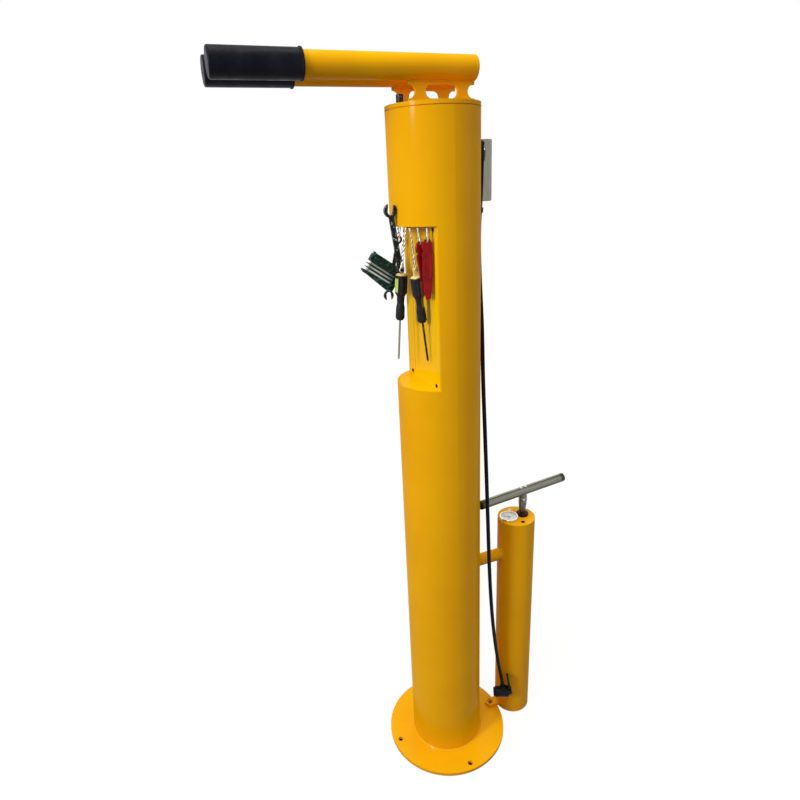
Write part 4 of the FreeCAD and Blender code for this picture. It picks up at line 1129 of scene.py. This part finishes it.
@dataclass
class SocketScrews:
    """Button-head screws with a hex socket, in place of the plain packed ones."""

    panel_head_r: float = 4.4 * MM
    plate_head_r: float = 4.8 * MM
    head_h: float = 2.2 * MM
    socket: float = 1.75 * MM
    depth: float = 1.6 * MM
    panel_z: tuple[float, float] = (950.0 * MM, 1240.0 * MM)
    plate_x: float = 29.0 * MM

    def add(self, mesh: Mesh, place: Matrix, head_r: float) -> None:
        """Add one screw head.

        Args:
            mesh: The mesh to add to.
            place: The frame whose Z axis leaves the head.
            head_r: The head's radius.
        """
        ball = (head_r ** 2 + self.head_h ** 2) / (2 * self.head_h)

        def crown(r: float) -> float:
            """Return the dome's height at a radius."""
            return math.sqrt(ball ** 2 - r ** 2) - ball + self.head_h

        def hexagon(turn: float) -> float:
            """Return the socket's reach at a turn."""
            return self.socket / math.cos((turn % (math.pi / 3)) - math.pi / 6)

        top = crown(self.socket * 1.2)
        floor = top - self.depth
        outline = [(0.2, 0.0, floor - 0.2 * MM), (1.0, 0.0, floor), (1.0, 0.0, top - 0.1 * MM),
                   (1.0, 0.12 * MM, top)]
        outline += [(0.0, share * head_r, crown(share * head_r))
                    for share in (0.55, 0.7, 0.83, 0.93, 0.99)]
        outline += [(0.0, head_r, 0.05 * MM), (0.0, head_r * 0.97, -0.05 * MM),
                    (0.0, head_r * 0.4, -0.05 * MM)]
        skin_rings(mesh, [[place @ (spoke(t) * (share * hexagon(t) + more) + Z_AXIS * z)
                           for t in circle(36)] for share, more, z in outline])

    def build(self) -> None:
        """Make the panel's four screws and the top plate's two, which differ only as painted
        light: the left one pale zinc as a painted highlight, the right one dark like the panel's.
        """
        dark, pale = bmesh.new(), bmesh.new()
        panel_x = (math.sqrt((79.85 * MM) ** 2 - WINDOW_BACK ** 2)) - 15.24 * MM
        to_front = Matrix.Rotation(math.radians(90.0), 4, "X")
        for x in (-panel_x, panel_x):
            for z in self.panel_z:
                self.add(dark, Matrix.Translation((x, WINDOW_BACK, z)) @ to_front,
                         self.panel_head_r)
        # The top plate's like screws: the right one dark, the left one pale zinc as a painted
        # highlight.
        for mesh, x in ((dark, self.plate_x), (pale, -self.plate_x)):
            self.add(mesh, Matrix.Translation((x, CASING_Y, CASING_TOP)), self.plate_head_r)
        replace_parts(publish("socket_screws", dark, Finish.BOLT, crease=35.0), "cover_screws")
        publish("plate_screw_left_painted_highlight", pale, Finish.ZINC, crease=35.0)


@dataclass
class PumpHose:
    """The pump's hose: a smooth cord through the same points as the frame's tube."""

    diameter: float = 8.5 * MM
    length: float = 1.267
    route: tuple[tuple[float, float, float], ...] = (
        (10.5, 92.0, 1366.0), (10.0, 91.0, 1300.0), (3.0, 89.55, 1230.0), (7.0, 89.25, 1150.0),
        (24.5, 86.05, 1045.0), (31.0, 84.7, 940.0), (40.0, 84.7, 830.0), (45.5, 86.5, 715.0),
        (49.0, 89.0, 600.0), (49.5, 93.0, 485.0), (46.5, 101.0, 375.0), (42.5, 112.5, 275.0),
        (38.5, 127.0, 187.0), (38.2, 136.5, 137.0), (40.0, 141.0, 105.0),
    )

    def build(self) -> None:
        points = [Vector(p) * MM for p in self.route]
        data = nurbs("pump_hose", points, 12)
        data.bevel_depth = self.diameter / 2
        data.bevel_resolution = 6
        data.use_fill_caps = True
        hose = mount("pump_hose", data, Finish.HOSE)
        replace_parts(hose, "hose")


@dataclass
class Gauge:
    """The printed marks of the pump's gauge."""

    face_z: float = 570.05 * MM
    outer: float = 16.6 * MM
    marks: int = 33
    sweep: float = 270.0
    numbers: tuple[int, ...] = (0, 40, 80, 120, 160)
    number_r: float = 10.6 * MM
    number_size: float = 3.2 * MM

    def out(self, share: float) -> Vector:
        """Return the outward direction at a share of the scale."""
        return spoke(math.radians(225.0 - self.sweep * share))

    def bar(self, mesh: Mesh, share: float, inner: float, half: float) -> None:
        """Add one raised mark.

        Args:
            mesh: The mesh to add to.
            share: Its place along the scale.
            inner: Its inner radius.
            half: Half its width.
        """
        out = self.out(share)
        side = Z_AXIS.cross(out)
        centre = Vector((0.0, GAUGE_Y, self.face_z))
        foot = [centre + out * a + side * b for a, b in
                ((inner, -half), (self.outer, -half), (self.outer, half), (inner, half))]
        skin_rings(mesh, [foot, [p + Z_AXIS * 0.06 * MM for p in foot]])

    def figures(self) -> None:
        """Set the numbers round the scale."""
        right = Vector((0.42, 0.91, 0.0)).normalized()
        turn = Matrix((right, Z_AXIS.cross(right), Z_AXIS)).transposed().to_4x4()
        for index, number in enumerate(self.numbers):
            data = bpy.data.curves.new(f"gauge_number_{number}", "FONT")
            data.body = str(number)
            data.size = self.number_size
            data.align_x = data.align_y = "CENTER"
            data.extrude = 0.03 * MM
            out = self.out(index / (len(self.numbers) - 1))
            place = Vector((0.0, GAUGE_Y, self.face_z + 0.04 * MM)) + out * self.number_r
            carrier = bpy.data.objects.new("gauge_number", data)
            flat = bpy.data.meshes.new_from_object(carrier)
            bpy.data.objects.remove(carrier)
            mesh = bmesh.new()
            mesh.from_mesh(flat)
            bpy.data.meshes.remove(flat)
            bmesh.ops.transform(mesh, matrix=Matrix.Translation(place) @ turn, verts=mesh.verts)
            publish(f"gauge_number_{number}", mesh, Finish.INK)

    def build(self) -> None:
        """Print the scale."""
        mesh = bmesh.new()
        for step in range(self.marks):
            main = step % 8 == 0
            length = 2.8 if main else 2.0 if step % 4 == 0 else 1.3
            self.bar(mesh, step / (self.marks - 1), self.outer - length * MM,
                     (0.2 if main else 0.1) * MM)
        publish("gauge_scale", mesh, Finish.INK)
        self.figures()


@dataclass(frozen=True)
class Riveted:
    """A cable that ends in a flat eye on a rivet, in millimetres."""

    top: tuple[float, float, float]
    eye: tuple[float, float, float]
    bow: float
    tool: str


@dataclass
class ToolCables:
    """The stranded cables that hold the tools, with their crimped sleeves and eyes."""

    radius: float = 1.5 * MM
    loop_radius: float = 1.3 * MM
    sides: int = 24
    strands: int = 2
    lay: float = 17.0 * MM
    sleeve: tuple[float, float, float] = (2.6 * MM, 1.9 * MM, 9.0 * MM)
    riveted: dict[str, Riveted] = field(default_factory=lambda: {
        "wrench": Riveted((21.8, -68.0, 1245.9), (21.8, -80.25, 1171.0), 0.8, "black_wrench"),
        "hex": Riveted((-44.8, -57.0, 1245.9), (-44.8, -64.134, 1154.949), 1.2, "hex_scales"),
    })

    def wave(self, turn: float, run: float) -> float:
        """Return how far a point is on a strand: 1 on its crown, 0 in the groove beside it."""
        return abs(math.cos(self.strands / 2 * (turn - 2 * math.pi * run / self.lay)))

    def tube(self, name: str, line: Sequence[Vector], radius: float, mesh: Mesh,
             body: str) -> Piece:
        """Build a twisted cable along a line, with painted shade, a near-black finish, in its
        grooves.

        Args:
            name: The piece's name.
            line: The line's points.
            radius: The cable's outer radius.
            mesh: The mesh to add to, freed here.
            body: The body that carries it.

        Returns:
            The new piece.
        """
        first = len(mesh.faces)
        skin_rings(mesh, swept_rings(line, self.sides, lambda turn, run: radius * (
            0.78 + 0.22 * self.wave(turn, run))))
        mesh.faces.ensure_lookup_table()
        for i, run in enumerate(distances(line)[1:]):
            for j, turn in enumerate(circle(self.sides)):
                # Faces in the grooves between strands take the second, near-black finish as
                # painted shade.
                if self.wave(turn + math.pi / self.sides, run) < 0.5:
                    mesh.faces[first + i * self.sides + j].material_index = 1
        piece = publish(name, mesh, Finish.CABLE, body, 60.0)
        piece.data.materials.append(Finish.GROOVE.material())
        return piece

    def crimp(self, name: str, place: Matrix, top: float, body: str) -> Piece:
        """Build a flat oval sleeve with two pressed waists.

        Args:
            name: The tool's name.
            place: The frame whose Z axis runs up the cable.
            top: The height of its upper end in that frame.
            body: The body that carries it.

        Returns:
            The new piece.
        """
        wide, thick, length = self.sleeve
        mesh = bmesh.new()
        rings = []
        last = 24
        for step in range(last + 1):
            share = step / last
            waist = 1.0 - 0.16 * max(0.0, -math.cos(4 * math.pi * (share - 0.5)))
            if step in (0, last):
                waist *= 0.86
            rings.append([place @ Vector((wide * math.cos(t) * (2 - waist),
                                          thick * math.sin(t) * waist, top - share * length))
                          for t in circle(28)])
        skin_rings(mesh, rings)
        return publish(f"cable_sleeve_{name}", mesh, Finish.ZINC, body, 50.0)

    def loop_line(self, low: float, width: float, height: float, across: Vector) -> list[Vector]:
        """Return a teardrop line that starts and ends in the sleeve.

        Args:
            low: The height of its lowest point.
            width: Its full width.
            height: Its full height.
            across: The direction of its width.

        Returns:
            The line's points.
        """
        radius = width / 2
        line = []
        for step in range(81):
            turn = math.radians(-90.0) + 2 * math.pi * (step / 80 - 0.5)
            over = max(0.0, math.sin(turn))
            z = low + radius + radius * math.sin(turn) + (height - width) * over ** 1.4
            x = radius * math.cos(turn) * (1.0 - 0.72 * over ** 1.5)
            line.append(across * x + Z_AXIS * z)
        return line

    def declare(self, route: Sequence[Vector]) -> None:
        """Work out a cable's length, which is not kept.

        Args:
            route: The points of its centre line.
        """
        round(distances(route)[-1], 5)

    def tool_loop(self, name: str, hanging: Hanging) -> None:
        """Build one tool's short cable end: ball, line, sleeve and loop.

        Args:
            name: The tool's name.
            hanging: How it hangs.
        """
        place = hanging.place()
        body = f"hung_{name}"
        low = -(hanging.eye * MM)
        height = hanging.height * MM
        shut = low + height + self.sleeve[2] - 1.0 * MM
        end = shut - 2.0 * MM
        free = shut < -30.0 * MM
        if free:
            route = spline_line([place @ (Vector((0.9 * MM, 1.2 * MM, 0.0)) * bow + Z_AXIS * z)
                                 for bow, z in ((0.0, 0.0), (0.7, end * 0.25), (1.0, end * 0.5),
                                                (0.4, end * 0.78), (0.0, end))])
        else:
            route = [place @ Vector((0, 0, -step * 0.4 * MM))
                     for step in range(1 + max(3, int(-end / (0.4 * MM))))]
        cable = self.tube(f"cable_{name}", route, self.radius, bmesh.new(), body)
        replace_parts(cable, f"tether_{name}")
        ball = bmesh.new()
        lathe(ball, [(0.01, -2.1), (1.5, -1.5), (2.1, 0.0), (1.5, 1.5), (0.01, 2.1)], place, 20)
        line = self.loop_line(low, hanging.width * MM, height, hanging.across)
        eye = self.tube(f"cable_loop_{name}", [place @ p for p in line], self.loop_radius, ball,
                        body)
        spin = Matrix.Rotation(math.atan2(hanging.across.y, hanging.across.x), 4, "Z")
        sleeve = self.crimp(name, place @ spin, shut, body)
        if free:
            self.declare(route)

    def to_rivet(self, name: str, cable: Riveted) -> None:
        """Build a cable that ends in a flat eye on a rivet.

        Args:
            name: The tool's name.
            cable: Where it runs.
        """
        top, eye = Vector(cable.top) * MM, Vector(cable.eye) * MM
        bow = Y_AXIS * cable.bow * MM
        up = (top - eye).normalized()
        seat = eye + up * 8.0 * MM
        route = spline_line([top, top.lerp(seat, 0.3) + bow * 0.8, top.lerp(seat, 0.6) + bow,
                             seat.lerp(top, 0.12), seat])
        piece = self.tube(f"cable_{name}", route, self.radius, bmesh.new(), "station")
        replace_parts(piece, f"tether_{name}")
        at_eye = Matrix.Translation(eye)
        turn = up.to_track_quat("Z", "X").to_matrix().to_4x4()
        sleeve = self.crimp(name, at_eye @ turn, 12.5 * MM, "station")
        mesh = bmesh.new()
        lathe(mesh, [(2.1, -1.4), (4.0, -1.4), (4.5, -0.9), (4.5, 0.9), (4.0, 1.4), (2.1, 1.4)],
              at_eye @ Matrix.Rotation(math.radians(90.0), 4, "Y"), 40)
        ring = publish(f"cable_eye_{name}", mesh, Finish.ZINC, crease=35.0)
        self.declare(route)

    def build(self) -> None:
        """Hang every tool on its cable."""
        for name, hanging in HANGINGS.items():
            self.tool_loop(name, hanging)
        for name, cable in self.riveted.items():
            self.to_rivet(name, cable)


def main() -> None:
    """Build the whole scene in order."""
    logging.basicConfig(level=logging.INFO)
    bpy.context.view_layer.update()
    for part in (PhotoCamera(), PumpHose(), ToolCables(), Studio(), POST_AND_ARMS, PUMP, TOOLS,
                 WeldBeads(), SocketScrews(), Gauge()):
        part.build()
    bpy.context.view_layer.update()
    LOG.info("scene built")


if __name__ == "__main__":
    main()
